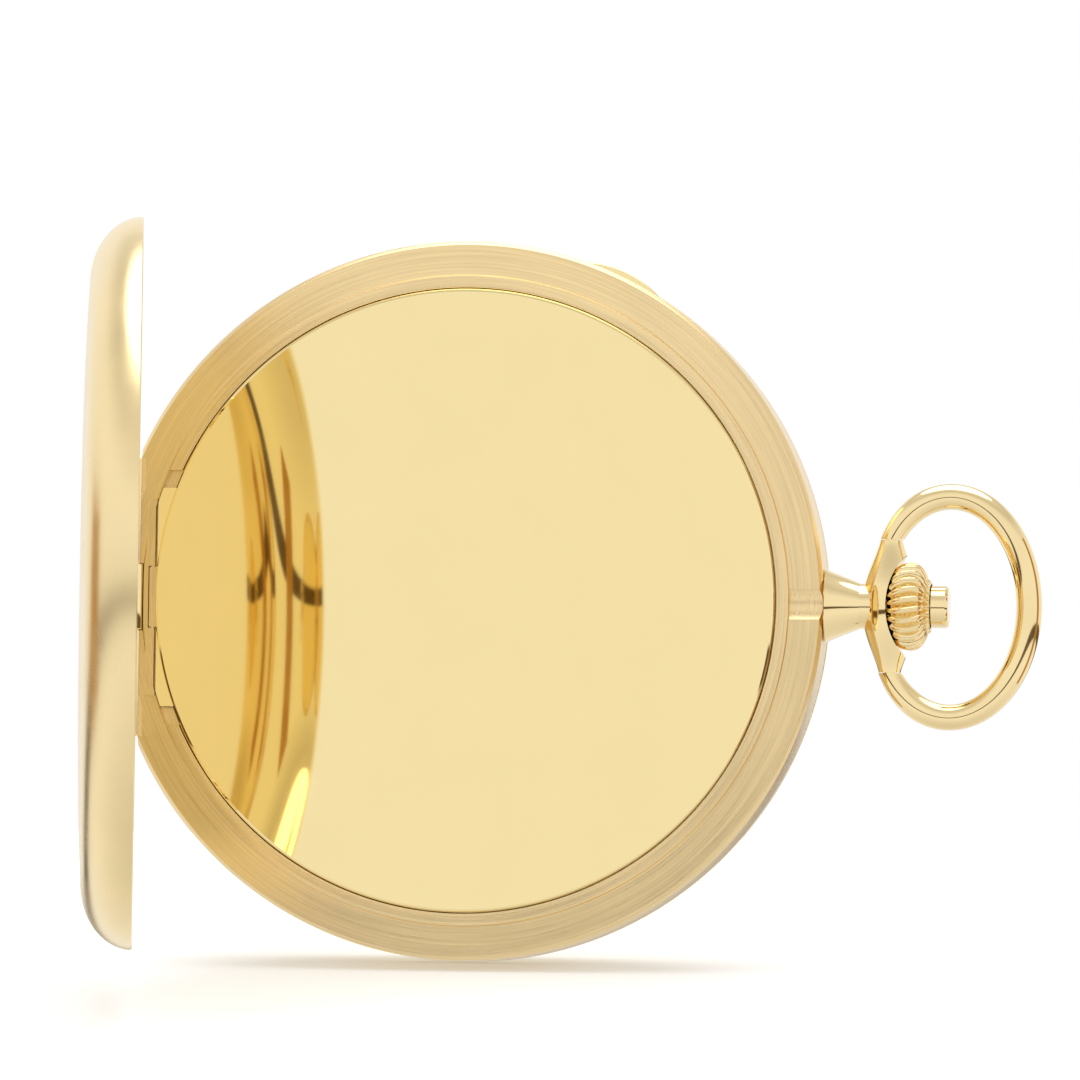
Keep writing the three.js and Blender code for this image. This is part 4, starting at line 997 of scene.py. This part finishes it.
def add_card(name, x, span_y, span_z):
    """A brown board beside the watch that only reflections see."""
    (near, far), (low, high) = span_y, span_z
    outline = ((near, low), (far, low), (far, high), (near, high))
    corners = [(x * MM, y * MM, z * MM) for y, z in outline]
    card = new_object(name, corners, [[0, 1, 2, 3]])
    shader = Shader(name)
    grain = shader.noise(12.0, 2.0)
    tone = shader.ramp(grain, (0.3, (0.42, 0.22, 0.05)), (0.7, (0.52, 0.28, 0.07)))
    shader.set(Base_Color=(0.0, 0.0, 0.0, 1.0), Roughness=1.0, Emission_Color=tone, Emission_Strength=1.0)
    card.data.materials.append(shader.material)
    card.visible_camera = False
    card.visible_transmission = False
    card.visible_diffuse = False
    card.visible_shadow = False


def add_light(name, place, aim, size, power):
    """A soft round light that faces its aim."""
    data = bpy.data.lights.new(name, "AREA")
    data.shape = "DISK"
    data.size = size
    data.energy = power
    light = bpy.data.objects.new(name, data)
    light.location = place
    light.rotation_euler = (Vector(aim) - Vector(place)).to_track_quat("-Z", "Y").to_euler()
    bpy.context.scene.collection.objects.link(light)


def add_world():
    """White for the camera; for reflections, a white tent with soft darker seams."""
    world = bpy.data.worlds.new("studio")
    bpy.context.scene.world = world
    world.use_nodes = True
    tree = world.node_tree
    tree.nodes.clear()

    def node(kind, **settings):
        made = tree.nodes.new(kind)
        for key, value in settings.items():
            setattr(made, key, value)
        return made

    def background(colour, strength):
        made = node("ShaderNodeBackground")
        if isinstance(colour, tuple):
            made.inputs["Color"].default_value = (*colour, 1.0)
        else:
            tree.links.new(colour, made.inputs["Color"])
        made.inputs["Strength"].default_value = strength
        return made

    def ramp(value, stops):
        made = node("ShaderNodeValToRGB")
        tree.links.new(value, made.inputs["Fac"])
        elements = made.color_ramp.elements
        while len(elements) < len(stops):
            elements.new(0.5)
        for element, (place, level) in zip(elements, stops):
            element.position = place
            element.color = (*level, 1.0)
        return made.outputs["Color"]

    direction = node("ShaderNodeTexCoord").outputs["Generated"]
    split = node("ShaderNodeSeparateXYZ")
    tree.links.new(direction, split.inputs["Vector"])
    height = node("ShaderNodeMapRange")
    height.inputs["From Min"].default_value = -1.0
    tree.links.new(split.outputs["Z"], height.inputs["Value"])
    white, grey = (1.0, 1.0, 1.0), (0.72, 0.70, 0.68)
    dark = (0.14, 0.10, 0.07)
    tent = ramp(height.outputs["Result"], [
        (0.0, (0.80, 0.78, 0.76)), (0.3, white), (0.408, white), (0.422, dark),
        (0.464, dark), (0.472, white), (0.72, white), (0.86, grey), (1.0, white),
    ])
    seen = background(white, 1.0)
    mirrored = background(tent, 1.0)
    path = node("ShaderNodeLightPath")
    mix = node("ShaderNodeMixShader")
    tree.links.new(path.outputs["Is Camera Ray"], mix.inputs["Fac"])
    tree.links.new(mirrored.outputs[0], mix.inputs[1])
    tree.links.new(seen.outputs[0], mix.inputs[2])
    output = node("ShaderNodeOutputWorld")
    tree.links.new(mix.outputs[0], output.inputs["Surface"])


def add_camera():
    """Faces the open back from a little to the stem's side and a little below, slightly rolled."""
    side, rise = math.radians(CAMERA_SIDE_DEG), math.radians(CAMERA_RISE_DEG)
    towards = Vector((math.sin(side) * math.cos(rise), -math.cos(side) * math.cos(rise), math.sin(rise)))
    right = Vector((math.cos(side), math.sin(side), 0))
    up = towards.cross(right).normalized()
    target = Vector((0, -STEM_DEPTH * MM, 0)) + right * AIM_RIGHT + up * AIM_UP
    data = bpy.data.cameras.new("camera")
    data.lens = CAMERA_LENS_MM
    data.sensor_width = 36.0
    data.clip_end = 20.0
    camera = bpy.data.objects.new("camera", data)
    roll = Matrix.Rotation(math.radians(CAMERA_ROLL_DEG), 4, "Z")
    axes = Matrix((right, up, towards)).transposed().to_4x4()
    camera.matrix_world = Matrix.Translation(target + towards * CAMERA_DISTANCE) @ axes @ roll
    bpy.context.scene.collection.objects.link(camera)
    bpy.context.scene.camera = camera


# ---------------------------------------------------------------- the picture
front_cover()
back_cover()
cuvette()
case_band()
bezel()
crystal()
pendant_neck()
bow_holder()
bow()
crown()
pusher()
dial()
jewels()
dress_packed_parts()
add_floor()
add_card("card_left", -300.0, (-10.0, 130.0), (-75.0, 50.0))
add_card("card_right", 350.0, (-60.0, 60.0), (-200.0, 200.0))
add_world()
add_light("overhead", place=(0.0, 0.1, 1.2), aim=(0.0, 0.0, 0.0), size=1.4, power=9.0)
add_camera()
bpy.context.scene.view_settings.view_transform = "Standard"
